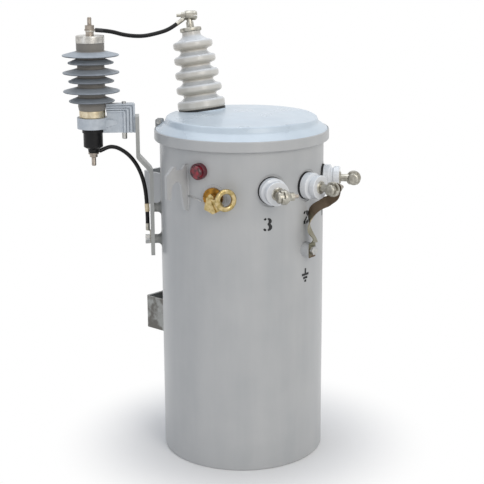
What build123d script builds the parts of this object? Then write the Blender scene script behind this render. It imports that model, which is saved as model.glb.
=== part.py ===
from build123d import *

import os
from math import cos, pi, radians, sin, tan

# Pole mounted distribution transformer, single phase, with its surge arrester.
#
# Frame: +Z is up and the origin is the middle of the flat tank bottom. -Y is the
# low-voltage side, +Y the side towards the pole. Angles round the tank are in
# degrees from -Y towards +X, and radii run from the tank's own axis.
# All lengths are in millimetres.

# ---------------------------------------------------------------- clearances
seat_gap = 0.3  # what sits beside a moving piece, or is only laid on its seat
thread_clearance = 0.4  # a bolt in the hole that it passes through
running_clearance = 0.05  # the handle's shaft in its bushing
swing_clearance = 5.0  # the handle's ring over the tank

# ---------------------------------------------------------------------- tank
tank_radius = 170.0
tank_height = 680.0
tank_edge = 3.0
lip_overhang = 5.0
lip_depth = 6.0

# --------------------------------------------------------------------- cover
cover_gasket_thickness = 4.0
cover_gasket_width = 24.0
cover_radius = 178.0
cover_rim = 6.0  # upright edge of the cover
riser_foot_radius = 160.0
riser_foot_rise = 18.5
riser_top_radius = 155.0
plateau_rise = 31.0
crown_rise = 38.0
shoulder_rounding = 2.5
foot_rounding = 7.0
plateau_rounding = 5.0
blank_seat_angle = 32.0
blank_seat_radius = 71.0  # where the flat meets the crown
blank_seat_lean = 6.0

band_sheet = 2.5
band_gap = 0.5
band_drop = 15.0  # how far the band reaches below the cover
band_lip = 7.0
band_rounding = 2.0
band_bolt_angle = -149.0
band_bolt_radius = 3.0
band_bolt_head_width = 9.0
band_bolt_head_height = 4.0
band_bolt_end = 4.0
band_bolt_inset = 7.0  # from the band's outside to the bolt
band_bolt_rise = 9.5  # from the cover's shoulder to the bolt
band_ear_depth = 15.0
band_ear_rise = 15.0
band_ear_foot = 6.0  # how far an ear overlaps the band
band_ear_rounding = 3.0
band_ear_sheet = 3.0
band_ear_spacing = 14.0

# -------------------------------------------------------- high-voltage bushing
hv_angle = 180.0
hv_seat_radius = 108.6
hv_seat_rise = 30.5
hv_lean = 10.0
hv_seat_width = 101.0
hv_seat_border = 2.0
hv_gasket_width = 99.5
hv_gasket_thickness = 5.0
hv_foot_radius = 48.5
hv_shed_radii = [50.4, 48.3, 46.2, 44.1, 41.8]
hv_waist_radii = [31.1, 28.8, 27.1, 24.5]
hv_first_shed = 12.5  # middle of the lowest shed's edge, over the foot
hv_shed_pitch = 31.0
hv_edge_below = 8.0  # from a shed's middle to the bottom of its edge
hv_edge_above = 7.0
hv_shed_shelf = 9.0  # width of the nearly level top
hv_shelf_rise = 1.0
hv_waist_rise = 17.6
hv_under_rounding = 7.5
hv_top_rounding = 6.5
hv_shelf_rounding = 8.5
hv_waist_rounding = 4.0
hv_neck_radius = 19.5
hv_neck_rise = 17.0
hv_neck_rounding = 8.0
hv_porcelain_height = 162.5
hv_cap_radius = 22.7
hv_cap_height = 9.0
hv_cap_rounding = 3.0
hv_stem_radius = 6.2
hv_stem_collar_radius = 8.0
hv_stem_collar_height = 12.0
hv_stem_height = 25.5  # from the cap to the clamp's axis
hv_clamp_angle = -140.0  # the way the clamp's bolt points
hv_clamp_radius = 10.0
hv_clamp_back = 18.0
hv_clamp_front = 6.5
hv_clamp_dome = 6.0
hv_clamp_rounding = 1.5
hv_slot_width = 2.5
hv_slot_depth = 8.0
hv_bolt_radius = 3.5
hv_bolt_start = -8.0  # where the bolt begins, from the clamp's middle
hv_nut_width = 12.0
hv_nut_height = 8.0
hv_bolt_end = 9.0

# ------------------------------------------------------- low-voltage bushings
lv_angles = {"3": -30.0, "2": 0.0, "1": 30.0}
lv_height = 590.0
lv_seat_radius = 168.0
lv_seat_width = 65.5
lv_gasket_width = 56.0
lv_gasket_thickness = 4.0
lv_flange_radius = 27.2
lv_flange_length = 13.5
lv_groove_radius = 19.0
lv_groove_position = 18.0
lv_collar_radius = 24.0
lv_collar_start = 21.5
lv_bushing_length = 33.0
lv_edge_rounding = 1.5
lv_washer_radius = 13.5
lv_washer_dome = 2.5
lv_stud_radius = 7.6
lv_stud_length = 28.5  # from the porcelain to the clamp's axis
lv_jaw_radius = 15.0
lv_jaw_length = 5.0
lv_jaw_end_radius = 8.0
lv_back_radius = 11.5
lv_back_dome = 4.0
lv_clamp_length = 27.0
lv_parting = -1.0  # where the two jaws meet, from the clamp's middle
lv_parting_gap = 1.4
lv_parting_depth = 2.0
lv_tooth_width = 14.0
lv_tooth_reach = 7.0
lv_bolt_radius = 3.5
lv_nut_width = 14.5
lv_nut_height = 8.0
lv_bolt_end = 9.0

# -------------------------------------------------------------- ground strap
ground_boss_side = -5.0  # sideways from the middle
ground_boss_drop = 130.0  # below the bushings
ground_boss_radius = 14.5
ground_boss_length = 17.0
ground_boss_wall = 3.0  # sunk into the curve of the tank, and left behind the bolt
strip_width = 20.0
strip_thickness = 2.0
strip_foot_drop = 15.0  # how far the strip reaches below the bolt
strip_eye_radius = 10.5
ground_bolt_radius = 5.0
ground_bolt_head_width = 17.0
ground_bolt_head_height = 6.5
# Stations of the strip: the shares of the way from the boss to the clamp,
# sideways, outward and up, then its slope from upright and its twist.
strip_stations = [
    (0.0, 0.0, 0.108, 0, 0),
    (0.0, -0.077, 0.269, -8, -16),
    (0.0, -0.165, 0.423, -4, -38),
    (0.128, -0.154, 0.515, 12, -58),
    (0.359, -0.132, 0.585, 30, -75),
    (0.667, 0.031, 0.665, 45, -88),
    (0.872, 0.297, 0.727, 52, -90),
    (1.0, 0.582, 0.788, 50, -90),
]
strip_end_bend = (0.905, 0.885)  # shares outward and up, in the flat end
strip_end_slope = 17.0

# --------------------------------------------------- signal light and breaker
light_angle = -79.0
light_height = 628.0
light_bezel_radius = 16.5
light_bezel_length = 10.5
light_bezel_rounding = 1.2
light_lens_radius = 13.5
light_lens_length = 20.0  # from the tank to the top of the dome
light_lens_rounding = 7.0

breaker_angle = -69.0
breaker_height = 577.0
breaker_boss_radius = 26.0
breaker_boss_face = 171.5
dial_radius = 20.5
dial_thickness = 5.0
dial_notches = 24
shaft_radius = 5.0
shaft_length = 14.0
shaft_end = 2.0  # left free behind the shaft
hub_radius = 8.0
lever_base = 7.0  # from the dial's face to the lever
lever_depth = 16.5  # at the shaft, where its sloping face is in the middle
lever_lean = 20.0
lever_outline = [(-4, 1), (4, 4), (17, -22), (10, -25.5), (0, -22), (-10.5, -19), (-9, -9)]
neck_outline = [(-5, 3), (-3, 9), (1, 12), (7, 7), (9, 0)]
neck_depth = 8.0
arm_outline = [(4, 4), (19, 1), (27, -9), (29, -16), (17, -22)]  # it carries the ring
arm_base = 12.0
arm_depth = 12.0
ring_radius = 22.6
ring_hole_radius = 12.6
ring_thickness = 9.0
ring_rounding = 3.5
ring_offset = 34.0
ring_rise = 2.2
ring_turn = 45.0
ring_standoff = 19.0

# --------------------------------------------------------------- lifting lugs
lug_angles = {"left": -90.0, "right": 90.0}
lug_thickness = 6.0
lug_reach = 60.0
lug_top = 639.0
lug_bottom = 544.0
lug_sink = 1.0  # the weld leg follows the tank wall
lug_rounding = 1.0
# Outline of a lug as shares of its reach and height: the weld leg, the notch and
# the hook on top, and the arched slot that is open at the bottom.
lug_top_outline = [
    (0.133, 1.0), (0.25, 0.911), (0.533, 0.911), (0.617, 1.0), (0.708, 0.984), (1.0, 0.832),
    (1.0, 0.358), (0.817, 0.305), (0.783, 0.547),
]
lug_arch_top = (0.542, 0.668)
lug_inner_outline = [(0.3, 0.526), (0.242, 0.232), (0.133, 0.021)]

# --------------------------------------------------------------- pole hangers
hanger_angle = 180.0
hanger_lower_height = 254.0
hanger_spacing = 285.75
hanger_depth = 72.0
hanger_width = 96.0
hanger_reach = 245.0
hanger_plate = 6.0
hanger_bend = 10.0
hanger_hollow = 5.0  # how far the web curves in towards the tank
hanger_slot_width = 18.0
hanger_slot_length = 30.0

# -------------------------------------------------------------- arrester strap
arrester_angle = -135.0
strap_thickness = 8.0
strap_width = 40.0
strap_top = 719.0
strap_upper_bend = 633.0
strap_lower_bend = 603.0
strap_bottom = 424.0
strap_outer_upper = 218.9
strap_outer_lower = 192.3
strap_bend_rounding = 12.0
strap_end_rounding = 9.0
post_radius = 9.5
post_weld = 8.0
post_upper_height = 524.5
post_lower_height = 457.0
strap_bolt_head_width = 17.5
strap_bolt_head_height = 9.5
strap_bolt_radius = 5.0
strap_bolt_end = 3.0  # left free behind the bolt

# ---------------------------------------------------------- arrester bracket
bracket_reach = 87.1  # from the strap's face to the arrester's axis
bracket_base = 694.6
bracket_ring_height = 22.4
ring_wall = 5.0
web_thickness = 14.0
block_bottom = 685.0
block_top = 744.5
block_thickness = 22.0
block_rounding = 5.0
barrel_gap = 1.5
rib_count = 4
rib_pitch = 6.6  # between the upright legs
rib_drop = 4.6  # between the level legs
rib_thickness = 4.0
rib_leg_height = 2.8
ear_inset = 1.4  # from the ring's outside to the ears
ear_start = 8.0  # from the arrester's axis towards the strap
ear_knee = (32.0, 12.0)
ear_end = (50.0, 8.0)
ear_rounding = 20.0
ear_end_height = 9.0
bracket_bolt_radius = 4.3
bracket_bolt_place = 22.5  # from the strap's face
bracket_bolt_head_radius = 5.2
bracket_bolt_head_height = 14.0
bracket_bolt_head_rounding = 2.0
bracket_bolt_end = 4.0

# ------------------------------------------------------------ surge arrester
arrester_radius = strap_outer_upper + bracket_reach
arrester_base = bracket_base + bracket_ring_height  # underside of the metal foot
foot_cap_radius = 26.5
foot_cap_height = 15.0
cap_rounding = 1.5
core_radius = 27.0
barrel_radius = 28.5
shed_large_radius = 57.5
shed_small_radius = 46.5
shed_first = 18.5  # from the top of the foot to the first shed
shed_pitches = [20.0, 20.1, 17.6, 19.9, 15.2]
shed_edge = 2.4
shed_slope = 9.0
shed_under = 2.0
housing_foot_height = 9.0
housing_height = 136.0
head_cap_radius = 29.0
head_cap_height = 15.0
head_collar_radius = 8.2
head_collar_height = 8.0
head_washer_radius = 10.5
head_washer_height = 2.5
head_nut_width = 16.0
head_nut_height = 8.0
head_stud_radius = 4.0
head_stud_end = 16.0  # beyond the nut

# --------------------------------------------------------- ground disconnector
disconnector_collar_radius = 22.0
disconnector_collar_height = 9.0
disconnector_radius = 19.9
disconnector_body_end = 38.3  # from the bracket down to the cone
disconnector_cone = 5.3
disconnector_shoulder_radius = 11.2
disconnector_tip_radius = 10.9
disconnector_tip = 5.6
tip_washer_radius = 11.0
tip_washer_height = 2.5
tip_nut_width = 14.0
tip_nut_height = 6.5
tip_stud_radius = 4.4
tip_stud_end = 18.4  # beyond the nut
stud_end_rounding = 1.5
shank_relief = 0.3  # where a stud passes through a lug

# ----------------------------------------------------------------------- leads
lead_radius = 4.2
lug_plate = 2.0
lug_palm_radius = 9.0
lug_barrel_radius = 4.4
lug_neck_start = 2.0  # where the palm starts to rise to the barrel
lug_neck_end = 1.5
# For each lug: along and over the palm to where the barrel starts, the barrel's
# tilt, and its length.
head_lug_form = ((13.0, 2.2), -7.0, 15.0)
hv_lug_form = ((10.5, 5.0), 46.0, 19.0)
tip_lug_form = ((13.0, -0.3), -20.0, 10.0)
strap_lug_form = ((19.0, 6.2), 0.0, 15.0)
hv_lug_fall = 45.6  # slope of the clamp's lug from level
tip_lug_turn = 20.0  # sideways from the way to the strap
ferrule_radius = 5.0
ferrule_length = 17.0
ferrule_place = 34.0  # along the lead, from the strap's lug
hv_lead_ends = (20.2, 20.9)  # straight runs out of the two lugs
hv_lead_middle = [(-143, 191.6, 879.6), (-106, 178.7, 874.8), (-74.1, 167.3, 879.4)]
ground_lead_ends = (9.5, 30.6)
# Radius from the tank's axis, sideways from the strap's middle, and height.
ground_lead_middle = [
    (267.2, -13.0, 652.8), (254.1, -14.4, 649.2), (232.4, -8.3, 635.1), (213.6, -3.0, 608.5),
    (201.9, -0.5, 571.0),
]

cover_base = tank_height + cover_gasket_thickness


def outward(angle):
    """Level direction away from the tank's axis."""
    return Vector(sin(radians(angle)), -cos(radians(angle)), 0)


def along(angle):
    """Level direction round the tank, towards larger angles."""
    return Vector(cos(radians(angle)), sin(radians(angle)), 0)


def place(angle, radius, height):
    return outward(angle) * radius + Vector(0, 0, height)


def wall_plane(angle, radius, height):
    """Plane that faces out from the tank, with Y up."""
    return Plane(origin=place(angle, radius, height), x_dir=along(angle), z_dir=outward(angle))


def side_plane(angle):
    """Upright plane through the tank's axis: X is the radius and Y the height."""
    return Plane(origin=(0, 0, 0), x_dir=outward(angle), z_dir=-along(angle))


def floor_plane(angle, radius, height, lean=0.0):
    """Plane that faces up, with X outward, tipped outward by lean degrees."""
    up = outward(angle) * sin(radians(lean)) + Vector(0, 0, cos(radians(lean)))
    return Plane(origin=place(angle, radius, height), x_dir=up.cross(along(angle)) * -1, z_dir=up)


def turning_plane(seat):
    """Plane of a half profile: X is the radius and Y runs along the seat's normal."""
    return Plane(origin=seat.origin, x_dir=seat.x_dir, z_dir=seat.y_dir * -1)


def seat_axis(seat):
    return Axis(seat.origin, seat.z_dir)


def hexagon(width):
    """Hexagon of a given width across its flats."""
    return RegularPolygon(radius=width / 2, side_count=6, major_radius=False)


def lug_barrel(seat, foot, tilt=0.0):
    """Plane at the start of a lug's barrel, facing along the barrel."""
    along_seat, over_seat = foot
    start = seat.origin + seat.x_dir * along_seat + seat.z_dir * over_seat
    run = seat.x_dir * cos(radians(tilt)) + seat.z_dir * sin(radians(tilt))
    return Plane(origin=start, x_dir=seat.y_dir, z_dir=run)


def lead_lug(seat, hole_radius, form):
    """Flat palm on a seat, with a barrel for the lead towards the seat's X."""
    (along_seat, over_seat), tilt, barrel_length = form
    with BuildPart() as lug:
        with BuildSketch(seat):
            Circle(lug_palm_radius)
            with Locations((along_seat / 2, 0)):
                Rectangle(along_seat, 2 * lug_barrel_radius - 1)
        extrude(amount=lug_plate)
        with BuildSketch(Plane(origin=seat.origin, x_dir=seat.x_dir, z_dir=seat.y_dir * -1)):
            with BuildLine():
                Polyline(
                    (along_seat - lug_neck_start, 0),
                    (along_seat - lug_neck_start, lug_plate),
                    (along_seat + lug_neck_end, over_seat + lug_barrel_radius / 2),
                    (along_seat + lug_neck_end, over_seat - lug_barrel_radius / 2),
                    close=True,
                )
            make_face()
        extrude(amount=lug_barrel_radius - 1, both=True)
        with BuildSketch(lug_barrel(seat, (along_seat, over_seat), tilt)):
            Circle(lug_barrel_radius)
        extrude(amount=barrel_length)
        with BuildSketch(seat):
            Circle(hole_radius)
        extrude(amount=lug_plate, mode=Mode.SUBTRACT)
    return lug.part


def route_radii(points):
    """Bend radius at each inner point of a lead's route."""
    radii = []
    for before, corner, after in zip(points, points[1:], points[2:]):
        run_in = Vector(*corner) - Vector(*before)
        run_out = Vector(*after) - Vector(*corner)
        turn = radians(run_in.get_angle(run_out))
        radii.append(0.45 * min(run_in.length, run_out.length) / tan(turn / 2))
    return radii


os.makedirs("parts", exist_ok=True)

# ======================================================================= tank
lv_seats = {name: wall_plane(angle, lv_seat_radius, lv_height) for name, angle in lv_angles.items()}
breaker_seat = wall_plane(breaker_angle, breaker_boss_face, breaker_height)

with BuildPart() as tank:
    with BuildSketch():
        Circle(tank_radius)
    extrude(amount=tank_height)
    fillet(tank.edges().group_by(Axis.Z)[0].filter_by(GeomType.CIRCLE), tank_edge)
    with BuildSketch(Plane.XY.offset(tank_height - lip_depth)):
        Circle(tank_radius + lip_overhang)
    extrude(amount=lip_depth)
    for seat in lv_seats.values():
        with BuildSketch(seat):
            Circle(lv_seat_width / 2)
        extrude(amount=lip_overhang, mode=Mode.SUBTRACT)
    with BuildSketch(breaker_seat):
        Circle(breaker_boss_radius)
    extrude(until=Until.NEXT, dir=outward(breaker_angle) * -1)
    with BuildSketch(breaker_seat):
        Circle(shaft_radius + running_clearance)
    extrude(amount=-shaft_length, mode=Mode.SUBTRACT)
tank.part.label = "tank"
export_step(tank.part, "parts/tank.step")

# ====================================================================== cover
hv_seat = floor_plane(hv_angle, hv_seat_radius, cover_base + hv_seat_rise, hv_lean)
blank_seat = floor_plane(
    blank_seat_angle, blank_seat_radius, cover_base + crown_rise - 1.5, blank_seat_lean
)


shoulder = cover_base + cover_rim
plateau = cover_base + plateau_rise
crown = cover_base + crown_rise
with BuildPart() as cover:
    with BuildSketch(Plane.XZ):
        with BuildLine():
            FilletPolyline(
                (0, cover_base),
                (cover_radius, cover_base),
                (cover_radius, shoulder),
                (riser_foot_radius, cover_base + riser_foot_rise),
                (riser_top_radius, plateau),
                (riser_top_radius / 2, crown - 0.25 * (crown - plateau)),
                (0, crown),
                radius=[0.5, shoulder_rounding, foot_rounding, plateau_rounding, 2 * cover_radius],
            )
            Line((0, crown), (0, cover_base))
        make_face()
    revolve(axis=Axis.Z)
    with BuildSketch(blank_seat):
        Circle(2 * cover_radius)
    extrude(amount=cover_radius, mode=Mode.SUBTRACT)
    with BuildSketch(hv_seat):
        Circle(hv_seat_width / 2 + hv_seat_border)
    extrude(amount=hv_seat_width, mode=Mode.SUBTRACT)
    with BuildSketch(hv_seat):
        Circle(hv_seat_width / 2)
    extrude(amount=-hv_seat_width / 9)
cover.part.label = "cover"
export_step(cover.part, "parts/cover.step")

with BuildPart() as cover_gasket:
    with BuildSketch(Plane.XY.offset(tank_height)):
        Circle(tank_radius + lip_overhang)
        Circle(tank_radius + lip_overhang - cover_gasket_width, mode=Mode.SUBTRACT)
    extrude(amount=cover_gasket_thickness)
cover_gasket.part.label = "cover_gasket"
export_step(cover_gasket.part, "parts/cover_gasket.step")

band_inner = cover_radius + band_gap
band_outer = band_inner + band_sheet
band_bottom = cover_base - band_drop
with BuildPart() as cover_band:
    with BuildSketch(Plane.XZ):
        with BuildLine():
            Polyline(
                (band_inner, shoulder),
                (band_outer, shoulder),
                (band_outer, band_bottom),
                (band_outer - band_lip, band_bottom),
                (band_outer - band_lip, band_bottom + band_sheet),
                (band_inner, band_bottom + band_sheet),
                close=True,
            )
        make_face()
    revolve(axis=Axis.Z)
    fillet(cover_band.edges().filter_by(GeomType.CIRCLE).group_by(SortBy.RADIUS)[-1], band_rounding)
    ear_side = side_plane(band_bolt_angle)
    ear_centre = (band_outer - band_ear_depth / 2, shoulder + (band_ear_rise - band_ear_foot) / 2)
    ear_offset = band_ear_spacing / 2
    with BuildSketch(ear_side.offset(ear_offset), ear_side.offset(-ear_offset)):
        with Locations(ear_centre):
            RectangleRounded(band_ear_depth, band_ear_rise + band_ear_foot, band_ear_rounding)
    extrude(amount=band_ear_sheet / 2, both=True)
    add(cover.part, mode=Mode.SUBTRACT)
    bolt_place = place(band_bolt_angle, band_outer - band_bolt_inset, shoulder + band_bolt_rise)
    bolt_plane = Plane(origin=bolt_place, x_dir=(0, 0, 1), z_dir=along(band_bolt_angle))
    with BuildSketch(bolt_plane):
        Circle(band_bolt_radius + thread_clearance)
    extrude(amount=band_ear_spacing, both=True, mode=Mode.SUBTRACT)
cover_band.part.label = "cover_band"
export_step(cover_band.part, "parts/cover_band.step")

ear_outside = (band_ear_spacing + band_ear_sheet) / 2
with BuildPart() as band_bolt:
    with BuildSketch(bolt_plane.offset(-ear_outside)):
        Circle(band_bolt_radius)
    extrude(amount=2 * ear_outside + band_bolt_head_height + band_bolt_end)
    head_starts = (ear_outside, -ear_outside - band_bolt_head_height)
    with BuildSketch(*[bolt_plane.offset(start) for start in head_starts]):
        hexagon(band_bolt_head_width)
    extrude(amount=band_bolt_head_height)
band_bolt.part.label = "band_bolt"
export_step(band_bolt.part, "parts/band_bolt.step")

# ======================================================= high-voltage bushing
with BuildPart() as hv_gasket:
    with BuildSketch(hv_seat):
        Circle(hv_gasket_width / 2)
    extrude(amount=hv_gasket_thickness)
hv_gasket.part.label = "hv_gasket"
export_step(hv_gasket.part, "parts/hv_gasket.step")

hv_foot = hv_seat.offset(hv_gasket_thickness)
shed_outline = [(hv_foot_radius, 0)]
shed_bends = []
for number, shed_radius in enumerate(hv_shed_radii):
    middle = hv_first_shed + number * hv_shed_pitch
    top = middle + hv_edge_above
    shed_outline += [
        (shed_radius, middle - hv_edge_below),
        (shed_radius, top),
        (shed_radius - hv_shed_shelf, top + hv_shelf_rise),
    ]
    shed_bends += [hv_under_rounding, hv_top_rounding, hv_shelf_rounding]
    if number < len(hv_waist_radii):
        shed_outline.append((hv_waist_radii[number], middle + hv_waist_rise))
        shed_bends.append(hv_waist_rounding)
shed_bends[0] = hv_under_rounding / 2
shed_outline += [(hv_neck_radius, middle + hv_neck_rise), (hv_neck_radius, hv_porcelain_height)]
shed_bends.append(hv_neck_rounding)

with BuildPart() as hv_bushing:
    with BuildSketch(turning_plane(hv_foot)):
        with BuildLine():
            FilletPolyline(*shed_outline, radius=shed_bends)
            Polyline(
                (hv_neck_radius, hv_porcelain_height),
                (0, hv_porcelain_height),
                (0, 0),
                (hv_foot_radius, 0),
            )
        make_face()
    revolve(axis=seat_axis(hv_foot))
hv_bushing.part.label = "hv_bushing"
export_step(hv_bushing.part, "parts/hv_bushing.step")

hv_head = hv_foot.offset(hv_porcelain_height)
with BuildPart() as hv_cap:
    with BuildSketch(hv_head):
        Circle(hv_cap_radius)
    extrude(amount=hv_cap_height)
    fillet(hv_cap.edges().filter_by(GeomType.CIRCLE), hv_cap_rounding)
hv_cap.part.label = "hv_cap"
export_step(hv_cap.part, "parts/hv_cap.step")

hv_stem_foot = hv_head.offset(hv_cap_height)
hv_clamp_centre = hv_stem_foot.offset(hv_stem_height).origin
hv_clamp = Plane(origin=hv_clamp_centre, x_dir=(0, 0, 1), z_dir=outward(hv_clamp_angle))
hv_clamp_rear = hv_clamp.offset(-hv_clamp_back)
hv_clamp_face = hv_clamp.offset(hv_clamp_front)
hv_bolt_seat = hv_clamp.offset(hv_bolt_start)
with BuildPart() as hv_terminal:
    with BuildSketch(hv_clamp_rear):
        Circle(hv_clamp_radius)
    extrude(amount=hv_clamp_back + hv_clamp_front)
    clamp_faces = hv_terminal.faces().sort_by(seat_axis(hv_clamp))
    fillet(clamp_faces[0].edges(), hv_clamp_dome)
    fillet(hv_terminal.faces().sort_by(seat_axis(hv_clamp))[-1].edges(), hv_clamp_rounding)
    with BuildSketch(hv_clamp_rear):
        Rectangle(3 * hv_clamp_radius, hv_slot_width)
        Rectangle(hv_slot_width, 3 * hv_clamp_radius)
        Circle(hv_bolt_radius)
    extrude(amount=hv_slot_depth, mode=Mode.SUBTRACT)
    with BuildSketch(hv_stem_foot):
        Circle(hv_stem_radius)
    extrude(amount=hv_stem_height)
    with BuildSketch(hv_stem_foot):
        Circle(hv_stem_collar_radius)
    extrude(amount=hv_stem_collar_height)
    with BuildSketch(hv_bolt_seat):
        Circle(hv_bolt_radius)
    extrude(amount=hv_clamp_back + hv_clamp_front, mode=Mode.SUBTRACT)
hv_terminal.part.label = "hv_terminal"
export_step(hv_terminal.part, "parts/hv_terminal.step")

hv_nut_face = hv_clamp_face.offset(lug_plate)
with BuildPart() as hv_clamp_bolt:
    with BuildSketch(hv_nut_face):
        hexagon(hv_nut_width)
    extrude(amount=hv_nut_height)
    with BuildSketch(hv_bolt_seat):
        Circle(hv_bolt_radius)
    extrude(amount=hv_clamp_front - hv_bolt_start + lug_plate + hv_nut_height + hv_bolt_end)
hv_clamp_bolt.part.label = "hv_clamp_bolt"
export_step(hv_clamp_bolt.part, "parts/hv_clamp_bolt.step")

# ======================================================= low-voltage bushings
with BuildPart() as lv_gaskets:
    for seat in lv_seats.values():
        with BuildSketch(seat):
            Circle(lv_gasket_width / 2)
        extrude(amount=lv_gasket_thickness)
lv_gaskets.part.label = "lv_gaskets"
export_step(lv_gaskets.part, "parts/lv_gaskets.step")

lv_stud_foot = lv_gasket_thickness + lv_bushing_length
lv_clamp_place = lv_stud_foot + lv_stud_length
for name, angle in lv_angles.items():
    foot = lv_seats[name].offset(lv_gasket_thickness)
    with BuildPart() as lv_bushing:
        with BuildSketch(turning_plane(foot)):
            with BuildLine():
                FilletPolyline(
                    (0, 0),
                    (lv_flange_radius, 0),
                    (lv_flange_radius, lv_flange_length),
                    (lv_groove_radius, lv_groove_position),
                    (lv_collar_radius, lv_collar_start),
                    (lv_collar_radius, lv_bushing_length),
                    (0, lv_bushing_length),
                    radius=lv_edge_rounding,
                )
                Line((0, lv_bushing_length), (0, 0))
            make_face()
        revolve(axis=seat_axis(foot))
    lv_bushing.part.label = f"lv_bushing_{name}"
    export_step(lv_bushing.part, f"parts/lv_bushing_{name}.step")

    stud_foot = lv_seats[name].offset(lv_stud_foot)
    clamp_centre = lv_seats[name].origin + outward(angle) * lv_clamp_place
    clamp = Plane(origin=clamp_centre, x_dir=outward(angle), z_dir=along(angle))
    nut_place = lv_clamp_length / 2 + (strip_thickness if angle == 0 else 0)
    with BuildPart() as lv_terminal:
        with BuildSketch(Plane(origin=clamp_centre, x_dir=clamp.x_dir, z_dir=clamp.y_dir * -1)):
            with BuildLine():
                Polyline(
                    (0, lv_parting),
                    (lv_jaw_radius, lv_parting),
                    (lv_jaw_radius, lv_parting + lv_jaw_length),
                    (lv_jaw_end_radius, lv_clamp_length / 2),
                    (0, lv_clamp_length / 2),
                    close=True,
                )
            make_face()
            with BuildLine():
                FilletPolyline(
                    (0, -lv_clamp_length / 2),
                    (lv_back_radius, -lv_clamp_length / 2),
                    (lv_back_radius, 0),
                    radius=lv_back_dome,
                )
                Polyline((lv_back_radius, 0), (0, 0), (0, -lv_clamp_length / 2))
            make_face()
        revolve(axis=seat_axis(clamp))
        with BuildSketch(clamp.offset(lv_parting - lv_parting_gap)):
            Circle(lv_jaw_radius)
            Circle(lv_back_radius - lv_parting_depth, mode=Mode.SUBTRACT)
        extrude(amount=lv_parting_gap, mode=Mode.SUBTRACT)
        with BuildSketch(clamp.offset(-lv_tooth_reach)):
            with PolarLocations(lv_jaw_radius, 3, start_angle=30):
                Rectangle(lv_jaw_radius, lv_tooth_width)
            Circle(lv_jaw_radius, mode=Mode.INTERSECT)
            Circle(lv_back_radius - 0.5, mode=Mode.SUBTRACT)
        extrude(amount=lv_tooth_reach)
        with BuildSketch(stud_foot):
            Circle(lv_washer_radius)
        extrude(amount=lv_washer_dome, taper=40)
        with BuildSketch(stud_foot):
            Circle(lv_stud_radius)
        extrude(amount=lv_stud_length)
        with BuildSketch(clamp):
            Circle(lv_bolt_radius)
        extrude(amount=nut_place + lv_nut_height + lv_bolt_end)
        with BuildSketch(clamp.offset(nut_place)):
            hexagon(lv_nut_width)
        extrude(amount=lv_nut_height)
    lv_terminal.part.label = f"lv_terminal_{name}"
    export_step(lv_terminal.part, f"parts/lv_terminal_{name}.step")

# ================================================================ ground strap
ground_boss_height = lv_height - ground_boss_drop
boss_seat = Plane(
    origin=(ground_boss_side, -tank_radius, ground_boss_height), x_dir=(1, 0, 0), z_dir=(0, -1, 0)
)
boss_face = boss_seat.offset(ground_boss_length)
with BuildPart() as ground_boss:
    with BuildSketch(boss_face):
        Circle(ground_boss_radius)
    extrude(amount=-ground_boss_length - ground_boss_wall)
    add(tank.part, mode=Mode.SUBTRACT)
    with BuildSketch(boss_face):
        Circle(ground_bolt_radius)
    extrude(amount=-ground_boss_length + ground_boss_wall, mode=Mode.SUBTRACT)
ground_boss.part.label = "ground_boss"
export_step(ground_boss.part, "parts/ground_boss.step")

bolt_seat = boss_face.offset(strip_thickness)
with BuildPart() as ground_bolt:
    with BuildSketch(bolt_seat):
        hexagon(ground_bolt_head_width)
    extrude(amount=ground_bolt_head_height)
    with BuildSketch(bolt_seat):
        Circle(ground_bolt_radius)
    extrude(amount=-ground_boss_length + ground_boss_wall - strip_thickness)
ground_bolt.part.label = "ground_bolt"
export_step(ground_bolt.part, "parts/ground_bolt.step")

# The strip leaves the boss upright and flat to the tank, swings out under the
# middle bushing and turns a quarter turn to lie against the end of its clamp.
strip_side = lv_clamp_length / 2 + strip_thickness / 2
strip_reach = lv_seat_radius + lv_clamp_place
boss_reach = tank_radius + ground_boss_length + strip_thickness / 2
middle_clamp = Plane(
    origin=(lv_clamp_length / 2, -strip_reach, lv_height), x_dir=(0, 1, 0), z_dir=(1, 0, 0)
)
end_start, end_bend = [
    ((1 - out_share) * (strip_reach - boss_reach), (up_share - 1) * ground_boss_drop)
    for out_share, up_share in (strip_stations[-1][1:3], strip_end_bend)
]
end_slopes = [radians(strip_stations[-1][3]), radians(strip_end_slope)]
with BuildPart() as ground_strap:
    for side_share, out_share, up_share, slope, twist in strip_stations:
        sideways = ground_boss_side + side_share * (strip_side - ground_boss_side)
        reach = boss_reach + out_share * (strip_reach - boss_reach)
        height = ground_boss_height + up_share * ground_boss_drop
        run = Vector(0, -sin(radians(slope)), cos(radians(slope)))
        across = Vector(1, 0, 0).rotate(Axis((0, 0, 0), run), -twist)
        with BuildSketch(Plane(origin=(sideways, -reach, height), x_dir=across, z_dir=run)):
            Rectangle(strip_width, strip_thickness)
    loft()
    strip_foot_top = strip_stations[0][2] * ground_boss_drop
    with BuildSketch(boss_face):
        with Locations((0, (strip_foot_top - strip_foot_drop) / 2)):
            Rectangle(strip_width, strip_foot_top + strip_foot_drop)
    extrude(amount=strip_thickness)
    with BuildSketch(middle_clamp):
        with BuildLine():
            end_tangents = [(-sin(slope), cos(slope)) for slope in end_slopes]
            Spline(end_start, end_bend, (0, 0), tangents=end_tangents)
        trace(line_width=strip_width)
        Circle(strip_eye_radius)
    extrude(amount=strip_thickness)
    with BuildSketch(bolt_seat):
        Circle(ground_bolt_radius + thread_clearance)
    extrude(amount=-2 * strip_thickness, mode=Mode.SUBTRACT)
    with BuildSketch(middle_clamp):
        Circle(lv_bolt_radius + thread_clearance)
    extrude(amount=strip_thickness, mode=Mode.SUBTRACT)
ground_strap.part.label = "ground_strap"
export_step(ground_strap.part, "parts/ground_strap.step")

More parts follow.
